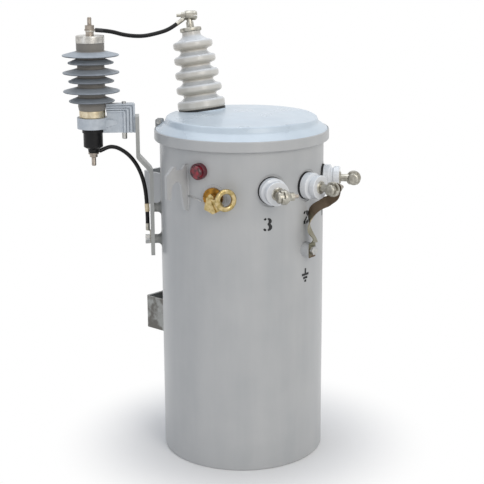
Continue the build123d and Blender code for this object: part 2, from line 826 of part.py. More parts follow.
# ================================================================ signal light
light_seat = wall_plane(light_angle, tank_radius, light_height)
with BuildPart() as signal_bezel:
    with BuildSketch(light_seat.offset(light_bezel_length)):
        Circle(light_bezel_radius)
    extrude(amount=-light_bezel_length - light_bezel_rounding)
    fillet(signal_bezel.faces().sort_by(seat_axis(light_seat))[-1].edges(), light_bezel_rounding)
    add(tank.part, mode=Mode.SUBTRACT)
signal_bezel.part.label = "signal_bezel"
export_step(signal_bezel.part, "parts/signal_bezel.step")

lens_seat = light_seat.offset(light_bezel_length)
with BuildPart() as signal_lens:
    with BuildSketch(lens_seat):
        Circle(light_lens_radius)
    extrude(amount=light_lens_length - light_bezel_length)
    fillet(signal_lens.faces().sort_by(seat_axis(lens_seat))[-1].edges(), light_lens_rounding)
signal_lens.part.label = "signal_lens"
export_step(signal_lens.part, "parts/signal_lens.step")

# ======================================================= breaker dial and handle
with BuildPart() as breaker_dial:
    with BuildSketch(breaker_seat):
        Circle(dial_radius)
        with PolarLocations(dial_radius, dial_notches):
            Circle(dial_radius / 20, mode=Mode.SUBTRACT)
        Circle(shaft_radius + running_clearance, mode=Mode.SUBTRACT)
    extrude(amount=dial_thickness)
breaker_dial.part.label = "breaker_dial"
export_step(breaker_dial.part, "parts/breaker_dial.step")

dial_face = breaker_seat.offset(dial_thickness + seat_gap)
lever_slope = Plane(
    origin=dial_face.origin + dial_face.z_dir * (lever_base + lever_depth),
    x_dir=dial_face.x_dir,
    z_dir=dial_face.z_dir.rotate(Axis((0, 0, 0), dial_face.y_dir), -lever_lean),
)
ring_centre = dial_face.origin + dial_face.x_dir * ring_offset + dial_face.y_dir * ring_rise
ring_plane = Plane(
    origin=ring_centre + dial_face.z_dir * ring_standoff,
    x_dir=dial_face.y_dir,
    z_dir=dial_face.z_dir.rotate(Axis((0, 0, 0), dial_face.y_dir), ring_turn),
)
with BuildPart() as ring:
    with BuildSketch(ring_plane.offset(-ring_thickness / 2)):
        Circle(ring_radius)
        Circle(ring_hole_radius, mode=Mode.SUBTRACT)
    extrude(amount=ring_thickness)
    fillet(ring.edges().filter_by(GeomType.CIRCLE), ring_rounding)

with BuildPart() as breaker_handle:
    with BuildSketch(dial_face):
        Circle(hub_radius)
    extrude(amount=lever_base + neck_depth)
    with BuildSketch(dial_face.offset(lever_base)):
        with BuildLine():
            Polyline(*lever_outline, close=True)
        make_face()
    extrude(amount=2 * lever_depth)
    with BuildSketch(lever_slope):
        Circle(2 * ring_radius)
    extrude(amount=2 * lever_depth, mode=Mode.SUBTRACT)
    with BuildSketch(dial_face.offset(lever_base)):
        with BuildLine():
            Polyline(*neck_outline, close=True)
        make_face()
    extrude(amount=neck_depth)
    with BuildSketch(dial_face.offset(arm_base)):
        with BuildLine():
            Polyline(*arm_outline, close=True)
        make_face()
    extrude(amount=arm_depth)
    with BuildSketch(dial_face):
        Circle(shaft_radius)
    extrude(amount=-shaft_length - dial_thickness + shaft_end)
    add(ring.part)
breaker_handle.part.label = "breaker_handle"
export_step(breaker_handle.part, "parts/breaker_handle.step")

# ================================================================ lifting lugs
for name, angle in lug_angles.items():
    wall = tank_radius - lug_sink
    lug_height = lug_top - lug_bottom
    top_points, arch_points, inner_points = [
        [(tank_radius + out * lug_reach, lug_bottom + up * lug_height) for out, up in outline]
        for outline in (lug_top_outline, [lug_arch_top], lug_inner_outline)
    ]
    with BuildPart() as lifting_lug:
        with BuildSketch(side_plane(angle).offset(-lug_thickness / 2)):
            with BuildLine():
                Polyline((wall, lug_bottom), (wall, lug_top), *top_points)
                ThreePointArc(top_points[-1], *arch_points, inner_points[0])
                Polyline(*inner_points, (wall, lug_bottom))
            make_face()
        extrude(amount=lug_thickness)
        round_axis = Axis(origin=(0, 0, 0), direction=along(angle))
        fillet(lifting_lug.edges().filter_by(round_axis), lug_rounding)
        add(tank.part, mode=Mode.SUBTRACT)
    lifting_lug.part.label = f"lifting_lug_{name}"
    export_step(lifting_lug.part, f"parts/lifting_lug_{name}.step")

# ================================================================ pole hangers
# Each hanger is one strip bent into a channel, its ends welded to the tank. The
# upper one has its slot open at the bottom, to drop over the bolt in the pole.
hanger_heights = {"lower": hanger_lower_height, "upper": hanger_lower_height + hanger_spacing}
half = hanger_width / 2
for name, height in hanger_heights.items():
    with BuildPart() as hanger:
        with BuildSketch(Plane.XY.offset(height - hanger_depth / 2)):
            with BuildLine():
                FilletPolyline(
                    (-half, 0),
                    (-half, hanger_reach),
                    (0, hanger_reach - hanger_hollow),
                    (half, hanger_reach),
                    (half, 0),
                    radius=[hanger_bend, 4 * half, hanger_bend],
                )
                Line((half, 0), (-half, 0))
            make_face()
            with BuildLine():
                FilletPolyline(
                    (-half + hanger_plate, 0),
                    (-half + hanger_plate, hanger_reach - hanger_plate),
                    (0, hanger_reach - hanger_hollow - hanger_plate),
                    (half - hanger_plate, hanger_reach - hanger_plate),
                    (half - hanger_plate, 0),
                    radius=[hanger_bend - hanger_plate, 4 * half, hanger_bend - hanger_plate],
                )
                Line((half - hanger_plate, 0), (-half + hanger_plate, 0))
            make_face(mode=Mode.SUBTRACT)
        extrude(amount=hanger_depth)
        with BuildSketch(Plane(origin=(0, 0, height), x_dir=(-1, 0, 0), z_dir=(0, 1, 0))):
            SlotOverall(hanger_slot_length, hanger_slot_width, rotation=90)
        extrude(amount=hanger_reach + 1, mode=Mode.SUBTRACT)
        add(tank.part, mode=Mode.SUBTRACT)
    hanger.part.label = f"hanger_{name}"
    export_step(hanger.part, f"parts/hanger_{name}.step")

# ============================================================= surge arrester
foot_seat = floor_plane(arrester_angle, arrester_radius, arrester_base)
with BuildPart() as arrester_foot_cap:
    with BuildSketch(foot_seat):
        Circle(foot_cap_radius)
    extrude(amount=foot_cap_height)
    fillet(arrester_foot_cap.edges().filter_by(GeomType.CIRCLE), cap_rounding)
arrester_foot_cap.part.label = "arrester_foot_cap"
export_step(arrester_foot_cap.part, "parts/arrester_foot_cap.step")

housing_seat = foot_seat.offset(foot_cap_height)
arrester_outline = [(core_radius, 0), (barrel_radius, housing_foot_height)]
height = shed_first
for number, pitch in enumerate(shed_pitches + [0]):
    tip_radius = shed_large_radius if number % 2 else shed_small_radius
    arrester_outline += [
        (core_radius, height - shed_under),
        (tip_radius, height - shed_edge / 2),
        (tip_radius, height + shed_edge / 2),
        (core_radius + 1, height + shed_slope),
    ]
    height += pitch
arrester_outline += [(barrel_radius, height + 1.6 * shed_slope), (barrel_radius, housing_height)]
with BuildPart() as arrester_housing:
    with BuildSketch(turning_plane(housing_seat)):
        with BuildLine():
            FilletPolyline(*arrester_outline, radius=shed_edge / 2.2)
            Polyline((barrel_radius, housing_height), (0, housing_height), (0, 0), (core_radius, 0))
        make_face()
    revolve(axis=seat_axis(housing_seat))
arrester_housing.part.label = "arrester_housing"
export_step(arrester_housing.part, "parts/arrester_housing.step")

head_seat = housing_seat.offset(housing_height)
with BuildPart() as arrester_head_cap:
    with BuildSketch(head_seat):
        Circle(head_cap_radius)
    extrude(amount=head_cap_height)
    fillet(arrester_head_cap.edges().filter_by(GeomType.CIRCLE), cap_rounding)
arrester_head_cap.part.label = "arrester_head_cap"
export_step(arrester_head_cap.part, "parts/arrester_head_cap.step")

collar_seat = head_seat.offset(head_cap_height)
lead_seat = collar_seat.offset(head_collar_height)
with BuildPart() as arrester_head_stud:
    with BuildSketch(collar_seat):
        Circle(head_collar_radius)
    extrude(amount=head_collar_height)
    with BuildSketch(lead_seat):
        Circle(head_stud_radius - shank_relief)
    extrude(amount=lug_plate)
    with BuildSketch(lead_seat.offset(lug_plate)):
        Circle(head_washer_radius)
    extrude(amount=head_washer_height)
    with BuildSketch(lead_seat.offset(lug_plate + head_washer_height)):
        hexagon(head_nut_width)
    extrude(amount=head_nut_height)
    with BuildSketch(lead_seat.offset(lug_plate + head_washer_height + head_nut_height)):
        Circle(head_stud_radius)
    extrude(amount=head_stud_end)
    fillet(arrester_head_stud.faces().sort_by(Axis.Z)[-1].edges(), stud_end_rounding)
arrester_head_stud.part.label = "arrester_head_stud"
export_step(arrester_head_stud.part, "parts/arrester_head_stud.step")

# ============================================================ arrester bracket
# One moulded piece: a ring under the arrester, an ear on each side of it that
# narrows to an upright web, and the nested ribs that stand against the strap.
bracket_seat = floor_plane(arrester_angle, arrester_radius, bracket_base)
bracket_side = side_plane(arrester_angle)
ring_outside = foot_cap_radius + ring_wall
ear_side = ring_outside - ear_inset
rib_end = arrester_radius - barrel_radius / 2
with BuildPart() as ears:
    with BuildSketch(bracket_seat):
        with BuildLine():
            for side in (1, -1):
                FilletPolyline(
                    (-ear_start, side * ear_side),
                    (-ear_knee[0], side * ear_knee[1]),
                    (-ear_end[0], side * ear_end[1]),
                    radius=ear_rounding,
                )
            Line((-ear_start, ear_side), (-ear_start, -ear_side))
            Line((-ear_end[0], ear_end[1]), (-ear_end[0], -ear_end[1]))
        make_face()
    extrude(amount=bracket_ring_height)
    ear_middle = bracket_base + bracket_ring_height / 2
    with BuildSketch(bracket_side):
        with BuildLine():
            Polyline(
                (arrester_radius - ear_start, ear_middle - bracket_ring_height / 2),
                (arrester_radius - ear_start, ear_middle + bracket_ring_height / 2),
                (arrester_radius - ear_end[0], ear_middle + ear_end_height / 2),
                (arrester_radius - ear_end[0], ear_middle - ear_end_height / 2),
                close=True,
            )
        make_face()
    extrude(amount=ring_outside, both=True, mode=Mode.INTERSECT)

with BuildPart() as arrester_bracket:
    with BuildSketch(bracket_seat):
        Circle(ring_outside)
    extrude(amount=bracket_ring_height)
    add(ears.part)
    with BuildSketch(bracket_side):
        with BuildLine():
            FilletPolyline(
                (strap_outer_upper, block_bottom),
                (strap_outer_upper, block_top),
                (rib_end, block_top),
                radius=block_rounding,
            )
            Polyline((rib_end, block_top), (rib_end, block_bottom), (strap_outer_upper, block_bottom))
        make_face()
    extrude(amount=web_thickness / 2, both=True)
    for number in range(rib_count):
        back = strap_outer_upper + number * rib_pitch
        top = block_top - number * rib_drop
        with BuildSketch(bracket_side):
            with BuildLine():
                FilletPolyline((back, block_bottom), (back, top), (rib_end, top), radius=block_rounding)
                Line((rib_end, top), (rib_end, top - rib_leg_height))
                FilletPolyline(
                    (rib_end, top - rib_leg_height),
                    (back + rib_thickness, top - rib_leg_height),
                    (back + rib_thickness, block_bottom),
                    radius=block_rounding - rib_thickness,
                )
                Line((back + rib_thickness, block_bottom), (back, block_bottom))
            make_face()
        extrude(amount=block_thickness / 2, both=True)
    with BuildSketch(bracket_seat.offset(bracket_ring_height)):
        Circle(barrel_radius + barrel_gap)
    extrude(amount=block_top, mode=Mode.SUBTRACT)
    with BuildSketch(bracket_seat):
        Circle(disconnector_collar_radius + seat_gap)
    extrude(amount=-block_top, mode=Mode.SUBTRACT)
    bolt_place = strap_outer_upper + bracket_bolt_place
    bolt_bottom = floor_plane(arrester_angle, bolt_place, block_bottom)
    with BuildSketch(bolt_bottom):
        Circle(bracket_bolt_radius + thread_clearance)
    extrude(amount=block_top - block_bottom, mode=Mode.SUBTRACT)
arrester_bracket.part.label = "arrester_bracket"
export_step(arrester_bracket.part, "parts/arrester_bracket.step")

with BuildPart() as bracket_bolt:
    with BuildSketch(bolt_bottom):
        Circle(bracket_bolt_head_radius)
    extrude(amount=-bracket_bolt_head_height)
    fillet(bracket_bolt.faces().sort_by(Axis.Z)[0].edges(), bracket_bolt_head_rounding)
    with BuildSketch(bolt_bottom):
        Circle(bracket_bolt_radius)
    extrude(amount=block_top - block_bottom + bracket_bolt_end)
bracket_bolt.part.label = "bracket_bolt"
export_step(bracket_bolt.part, "parts/bracket_bolt.step")

# ======================================================== ground disconnector
# It hangs under the bracket's ring, and its own stud carries the ground lead.
cone_end = disconnector_body_end + disconnector_cone
drop = cone_end + disconnector_tip
disconnector_outline = [
    (0, 0),
    (disconnector_collar_radius, 0),
    (disconnector_collar_radius, -disconnector_collar_height),
    (disconnector_radius, -disconnector_collar_height),
    (disconnector_radius, -disconnector_body_end),
    (disconnector_shoulder_radius, -cone_end),
    (disconnector_tip_radius, -drop),
    (0, -drop),
]
with BuildPart() as disconnector:
    with BuildSketch(turning_plane(bracket_seat)):
        with BuildLine():
            Polyline(*disconnector_outline, close=True)
        make_face()
    revolve(axis=seat_axis(bracket_seat))
disconnector.part.label = "disconnector"
export_step(disconnector.part, "parts/disconnector.step")

tip_seat = bracket_seat.offset(-drop)
with BuildPart() as disconnector_stud:
    with BuildSketch(tip_seat):
        Circle(tip_stud_radius - shank_relief)
    extrude(amount=-lug_plate)
    with BuildSketch(tip_seat.offset(-lug_plate)):
        Circle(tip_washer_radius)
    extrude(amount=-tip_washer_height)
    with BuildSketch(tip_seat.offset(-lug_plate - tip_washer_height)):
        hexagon(tip_nut_width)
    extrude(amount=-tip_nut_height)
    with BuildSketch(tip_seat.offset(-lug_plate - tip_washer_height - tip_nut_height)):
        Circle(tip_stud_radius)
    extrude(amount=-tip_stud_end)
    fillet(disconnector_stud.faces().sort_by(Axis.Z)[0].edges(), stud_end_rounding)
disconnector_stud.part.label = "disconnector_stud"
export_step(disconnector_stud.part, "parts/disconnector_stud.step")

# ============================================================= arrester strap
strap_inner_lower = strap_outer_lower - strap_thickness
with BuildPart() as arrester_strap:
    with BuildSketch(side_plane(arrester_angle)):
        with BuildLine():
            FilletPolyline(
                (strap_outer_upper, strap_top),
                (strap_outer_upper, strap_upper_bend),
                (strap_outer_lower, strap_lower_bend),
                (strap_outer_lower, strap_bottom),
                radius=strap_bend_rounding,
            )
            offset(amount=strap_thickness, side=Side.RIGHT)
        make_face()
    extrude(amount=strap_width / 2, both=True)
    end_axis = Axis(origin=(0, 0, 0), direction=outward(arrester_angle))
    end_edges = arrester_strap.edges().filter_by(end_axis).group_by(Axis.Z)[0]
    fillet(end_edges, strap_end_rounding)
    bolt_face = wall_plane(arrester_angle, strap_outer_lower, post_lower_height)
    with BuildSketch(bolt_face):
        Circle(strap_bolt_radius + thread_clearance)
    extrude(amount=-2 * strap_thickness, mode=Mode.SUBTRACT)
arrester_strap.part.label = "arrester_strap"
export_step(arrester_strap.part, "parts/arrester_strap.step")

post_length = strap_inner_lower - tank_radius
with BuildPart() as strap_posts:
    for height in (post_lower_height, post_upper_height):
        post_seat = wall_plane(arrester_angle, tank_radius, height)
        with BuildSketch(turning_plane(post_seat)):
            with BuildLine():
                JernArc((post_radius + post_weld, 0), (-1, 0), post_weld, -90)
                Polyline(
                    (post_radius, post_weld),
                    (post_radius, post_length),
                    (0, post_length),
                    (0, -lug_sink),
                    (post_radius + post_weld, -lug_sink),
                    (post_radius + post_weld, 0),
                )
            make_face()
        revolve(axis=seat_axis(post_seat))
    add(tank.part, mode=Mode.SUBTRACT)
    with BuildSketch(bolt_face):
        Circle(strap_bolt_radius)
    extrude(amount=strap_bolt_end - strap_thickness - post_length, mode=Mode.SUBTRACT)
strap_posts.part.label = "strap_posts"
export_step(strap_posts.part, "parts/strap_posts.step")

with BuildPart() as strap_bolt:
    with BuildSketch(bolt_face.offset(lug_plate)):
        hexagon(strap_bolt_head_width)
    extrude(amount=strap_bolt_head_height)
    with BuildSketch(bolt_face.offset(lug_plate)):
        Circle(strap_bolt_radius)
    extrude(amount=strap_bolt_end - strap_thickness - post_length - lug_plate)
strap_bolt.part.label = "strap_bolt"
export_step(strap_bolt.part, "parts/strap_bolt.step")

# ================================================================== lead lugs
# Each lug is a flat palm with a hole, and a barrel that the lead is crimped into.
towards_clamp = Vector(hv_clamp_centre.X, hv_clamp_centre.Y, lead_seat.origin.Z) - lead_seat.origin
hv_lug_run = along(hv_clamp_angle) * cos(radians(hv_lug_fall)) - Vector(0, 0, sin(radians(hv_lug_fall)))
tip_lug_run = outward(arrester_angle + tip_lug_turn) * -1
lug_seats = {
    "arrester_lead_lug": Plane(origin=lead_seat.origin, x_dir=towards_clamp, z_dir=(0, 0, 1)),
    "hv_lead_lug": Plane(
        origin=hv_clamp_face.origin, x_dir=hv_lug_run, z_dir=outward(hv_clamp_angle)
    ),
    "disconnector_lead_lug": Plane(origin=tip_seat.origin, x_dir=tip_lug_run, z_dir=(0, 0, -1)),
    "ground_lead_lug": Plane(
        origin=bolt_face.origin, x_dir=(0, 0, 1), z_dir=outward(arrester_angle)
    ),
}
lug_forms = {
    "arrester_lead_lug": (head_stud_radius, head_lug_form),
    "hv_lead_lug": (hv_bolt_radius, hv_lug_form),
    "disconnector_lead_lug": (tip_stud_radius, tip_lug_form),
    "ground_lead_lug": (strap_bolt_radius, strap_lug_form),
}
mouths = {}
for name, (stud_radius, form) in lug_forms.items():
    foot, tilt, barrel_length = form
    mouths[name] = lug_barrel(lug_seats[name], foot, tilt).offset(barrel_length)
    lug_part = lead_lug(lug_seats[name], stud_radius + thread_clearance, form)
    lug_part.label = name
    export_step(lug_part, f"parts/{name}.step")

# ====================================================================== leads
# Each route runs straight out of one lug, bends in between, and runs straight
# into the other.
start = mouths["arrester_lead_lug"]
end = mouths["hv_lead_lug"]
hv_route = [start.origin, start.offset(hv_lead_ends[0]).origin]
hv_route += hv_lead_middle
hv_route += [end.offset(hv_lead_ends[1]).origin, end.origin]
with BuildPart() as hv_lead:
    with BuildLine():
        FilletPolyline(*hv_route, radius=route_radii(hv_route))
    with BuildSketch(start):
        Circle(lead_radius)
    sweep()
hv_lead.part.label = "hv_lead"
export_step(hv_lead.part, "parts/hv_lead.step")

start = mouths["disconnector_lead_lug"]
end = mouths["ground_lead_lug"]
ground_route = [start.origin, start.offset(ground_lead_ends[0]).origin]
for radius, sideways, height in ground_lead_middle:
    ground_route.append(place(arrester_angle, radius, height) + along(arrester_angle) * sideways)
ground_route += [end.offset(ground_lead_ends[1]).origin, end.origin]
with BuildPart() as ground_lead:
    with BuildLine() as ground_path:
        FilletPolyline(*ground_route, radius=route_radii(ground_route))
    with BuildSketch(start):
        Circle(lead_radius)
    sweep()
ground_lead.part.label = "ground_lead"
export_step(ground_lead.part, "parts/ground_lead.step")

ground_wire = ground_path.wire()
ferrule_share = 1 - ferrule_place / ground_wire.length
ferrule_seat = Plane(origin=ground_wire @ ferrule_share, z_dir=ground_wire % ferrule_share)
with BuildPart() as lead_ferrule:
    with BuildSketch(ferrule_seat):
        Circle(ferrule_radius)
    extrude(amount=ferrule_length / 2, both=True)
    add(ground_lead.part, mode=Mode.SUBTRACT)
lead_ferrule.part.label = "lead_ferrule"
export_step(lead_ferrule.part, "parts/lead_ferrule.step")

for name, route, lead in (("hv_lead", hv_route, hv_lead), ("ground_lead", ground_route, ground_lead)):
    length = lead.part.volume / (pi * lead_radius**2)
    print(name, "length", round(length, 1), "radii", [round(r, 1) for r in route_radii(route)])
    print([tuple(round(v, 2) for v in Vector(*point)) for point in route])
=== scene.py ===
# %% [markdown]
# # A pole mounted transformer
# This is the steel tank that hangs on a street pole and turns the grid's high voltage
# into house voltage. The construction is already there as a fixed frame in metres. This
# file gives it its finishes, its two leads, its welds, threads and stencilled marks, and
# the light to see them by. Cells can be run one after the other.

from math import cos, pi, radians, sin

import bmesh
import bpy
from mathutils import Matrix, Vector, noise


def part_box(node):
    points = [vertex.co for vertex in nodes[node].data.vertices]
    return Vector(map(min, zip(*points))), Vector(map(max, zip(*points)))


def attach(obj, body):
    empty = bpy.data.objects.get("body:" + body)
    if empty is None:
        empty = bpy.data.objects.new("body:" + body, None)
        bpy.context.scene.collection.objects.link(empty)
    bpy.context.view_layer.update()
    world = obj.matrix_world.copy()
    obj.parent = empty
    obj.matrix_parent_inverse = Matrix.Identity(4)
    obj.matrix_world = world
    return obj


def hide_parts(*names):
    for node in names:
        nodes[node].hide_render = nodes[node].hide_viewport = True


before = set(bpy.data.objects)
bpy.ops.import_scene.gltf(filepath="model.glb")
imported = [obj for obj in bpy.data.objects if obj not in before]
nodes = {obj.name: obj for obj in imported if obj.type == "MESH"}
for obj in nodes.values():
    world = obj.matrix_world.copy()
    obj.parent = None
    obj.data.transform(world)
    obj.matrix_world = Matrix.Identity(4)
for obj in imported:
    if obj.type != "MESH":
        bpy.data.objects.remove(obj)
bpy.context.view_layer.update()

# %% [markdown]
# ## Camera
# The object is seen from its low-voltage side, turned 50 degrees towards the arrester, from
# a little above. A long lens keeps the tank's sides nearly upright, as a product picture
# does. The camera looks down by 13 degrees, and a small downward shift of the lens stands
# for the way the photograph was cropped.

# %% Place the camera
CAMERA_HEADING = -49.988
CAMERA_RADIUS = 2.499
CAMERA_HEIGHT = 1.1022
CAMERA_PITCH = 13.385
CAMERA_ROLL = -0.293

camera = bpy.data.objects.new("camera", bpy.data.cameras.new("camera"))
bpy.context.scene.collection.objects.link(camera)
camera.location = (
    CAMERA_RADIUS * sin(radians(CAMERA_HEADING)),
    -CAMERA_RADIUS * cos(radians(CAMERA_HEADING)),
    CAMERA_HEIGHT,
)
turn = Matrix.Rotation(radians(CAMERA_HEADING), 3, "Z")
tilt = Matrix.Rotation(radians(90 - CAMERA_PITCH), 3, "X")
roll = Matrix.Rotation(radians(CAMERA_ROLL), 3, "Z")
camera.rotation_euler = (turn @ tilt @ roll).to_euler()
camera.data.lens = 90.7
camera.data.sensor_width = 36.0
camera.data.shift_y = -0.06
bpy.context.scene.camera = camera
bpy.context.scene.view_settings.view_transform = "Standard"
print("camera at", tuple(round(v, 3) for v in camera.location))

# %% [markdown]
# ## Leads
# Two flexible leads belong to the arrester. One links its head to the high-voltage
# terminal and sags a little between two lugs. The other goes from the disconnector to the
# strap on the tank. Rubber covered copper bends in one smooth line, so each lead is a
# NURBS curve with a round bevel, which is simpler than a swept mesh and never kinks. The
# lead's radius goes on the points, with a bevel depth of 1, because Blender adds the
# points' own radius to a curve's bounds.

# %% A lead as a smooth curve
LEAD_DIAMETER = 0.0084


def lead_curve(name, points, diameter):
    """Round lead along a smooth open spline, given in millimetres."""
    data = bpy.data.curves.new(name, "CURVE")
    data.dimensions = "3D"
    data.bevel_depth = 1.0
    data.bevel_resolution = 8
    data.use_fill_caps = True
    spline = data.splines.new("NURBS")
    spline.points.add(len(points) - 1)
    for point, place in zip(spline.points, points):
        point.co = (*(value / 1000 for value in place), 1)
        point.radius = diameter / 2
    spline.order_u = 3
    spline.use_endpoint_u = True
    spline.resolution_u = 24
    lead = bpy.data.objects.new(name, data)
    bpy.context.scene.collection.objects.link(lead)
    return lead


hv_points = [
    (-189.94, 207.49, 891.37), (-170.93, 201.11, 888.91), (-143.0, 191.6, 879.6),
    (-106.0, 178.7, 874.8), (-74.1, 167.3, 879.4), (-46.32, 157.29, 886.13),
    (-28.88, 152.3, 896.5),
]
ground_points = [
    (-196.08, 206.91, 649.12), (-187.99, 203.14, 652.37), (-179.75, 198.13, 652.8),
    (-169.49, 189.86, 649.2), (-158.46, 170.2, 635.1), (-148.92, 153.16, 608.5),
    (-142.41, 143.12, 571.0), (-140.36, 140.36, 521.6), (-140.36, 140.36, 491.0),
]
hv_lead = lead_curve("hv_lead_jacket", hv_points, LEAD_DIAMETER)
ground_lead = lead_curve("ground_lead_jacket", ground_points, LEAD_DIAMETER)
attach(hv_lead, "housing")
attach(ground_lead, "housing")
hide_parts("hv_lead")
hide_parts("ground_lead")
print("leads made:", hv_lead.name, ground_lead.name)

# %% [markdown]
# ## Helpers for finishes
# A finish is a small network of shader nodes. One function turns a colour as a painter
# reads it from a chart into the linear numbers that the renderer works with, and one adds
# a node with its settings and links. Everything else is written out where it is used.

# %% Colour and node helpers
def linear(hex_colour):
    """Linear RGBA of an sRGB hex colour."""
    parts = [int(hex_colour[i:i + 2], 16) / 255 for i in (1, 3, 5)]
    return (*(p / 12.92 if p <= 0.04045 else ((p + 0.055) / 1.055) ** 2.4 for p in parts), 1)


def add(tree, kind, inputs=None, **settings):
    """Add a node to a tree, with its settings, and values or links for its inputs."""
    made = tree.nodes.new(kind)
    for name, value in settings.items():
        setattr(made, name, value)
    for name, value in (inputs or {}).items():
        if isinstance(value, bpy.types.NodeSocket):
            tree.links.new(value, made.inputs[name])
        else:
            made.inputs[name].default_value = value
    return made


def start_finish(name, **shader):
    """New material with its shader's own sockets set. Returns material, tree and shader."""
    material = bpy.data.materials.new(name)
    material.use_nodes = True
    bsdf = material.node_tree.nodes["Principled BSDF"]
    for socket, value in shader.items():
        bsdf.inputs[socket.replace("_", " ")].default_value = value
    return material, material.node_tree, bsdf


def wear(node_names, material):
    """Put one finish on carried-over pieces."""
    for name in node_names:
        nodes[name].data.materials.clear()
        nodes[name].data.materials.append(material)


def count_wearing(*materials):
    """How many carried-over pieces wear one of these finishes."""
    return sum(1 for node in nodes.values() if node.data.materials[0] in materials)


print("mid grey #808080 is", round(linear("#808080")[0], 3), "linear")

# %% Two colours spread by a factor
def two_tone(tree, bsdf, factor, low, high):
    """Let a 0 to 1 factor run the base colour between two hex colours."""
    tint = add(tree, "ShaderNodeMix", {"Factor": factor}, data_type="RGBA")
    tint.inputs["A"].default_value = linear(low)
    tint.inputs["B"].default_value = linear(high)
    tree.links.new(tint.outputs["Result"], bsdf.inputs["Base Color"])


print("two_tone mixes, for example,", linear("#B9BBBC")[:3], "and", linear("#AFB2B4")[:3])

# %% [markdown]
# ## Sprayed enamel
# The tank, cover, band, lugs, boss, upper hanger and the arrester's strap are mild steel
# with a sprayed light grey enamel. It has a fine orange peel, about 2 mm across, a satin
# gloss, and on an outdoor tank a faint cloudiness of dust and rain streaks. Noise stretched
# along Z makes the streaks, and a fine noise as bump makes the peel.

# %% Enamel
def sprayed_enamel(name, light, shade, roughness):
    """Satin enamel that runs between two colours, with orange peel and faint streaks."""
    material, tree, bsdf = start_finish(
        name, Roughness=roughness, IOR=1.5, Coat_Weight=0.15, Coat_Roughness=0.2
    )
    place = add(tree, "ShaderNodeTexCoord")
    stretch = add(tree, "ShaderNodeMapping", {"Vector": place.outputs["Object"], "Scale": (26, 26, 3)})
    streaks = add(tree, "ShaderNodeTexNoise", {"Vector": stretch.outputs[0], "Scale": 1.0, "Detail": 5})
    clouds = add(tree, "ShaderNodeTexNoise", {"Vector": place.outputs["Object"], "Scale": 11.0,
                 "Detail": 4})
    both = add(tree, "ShaderNodeMath", {0: streaks.outputs["Fac"], 1: clouds.outputs["Fac"]},
               operation="ADD")
    spread = add(tree, "ShaderNodeMapRange", {"Value": both.outputs[0], "From Min": 0.72,
                 "From Max": 1.28})
    two_tone(tree, bsdf, spread.outputs[0], shade, light)
    gloss = add(tree, "ShaderNodeMapRange", {"Value": clouds.outputs["Fac"],
                "From Min": 0.35, "From Max": 0.65,
                "To Min": roughness - 0.05, "To Max": roughness + 0.07})
    tree.links.new(gloss.outputs[0], bsdf.inputs["Roughness"])
    peel = add(tree, "ShaderNodeTexNoise", {"Vector": place.outputs["Object"], "Scale": 500.0,
               "Detail": 2})
    bump = add(tree, "ShaderNodeBump", {"Height": peel.outputs["Fac"], "Strength": 0.14,
               "Distance": 0.0006})
    tree.links.new(bump.outputs[0], bsdf.inputs["Normal"])
    return material


tank_enamel = sprayed_enamel("tank_enamel", "#B8B9B9", "#AEB0B1", 0.38)
# The cover wears a lighter, bluer copy of the same enamel: painted sky light on the lid.
cover_enamel_painted_skylight = sprayed_enamel("cover_enamel_painted_skylight", "#CBD8E2", "#C0CDD8", 0.3)
strap_enamel = sprayed_enamel("strap_enamel", "#A9AAA7", "#999A97", 0.42)
wear(
    ["tank", "cover_band", "lifting_lug_left", "lifting_lug_right", "hanger_upper", "ground_boss"],
    tank_enamel,
)
wear(["cover"], cover_enamel_painted_skylight)
wear(["arrester_strap", "strap_posts"], strap_enamel)
print("enamel on", count_wearing(tank_enamel, cover_enamel_painted_skylight, strap_enamel), "pieces")
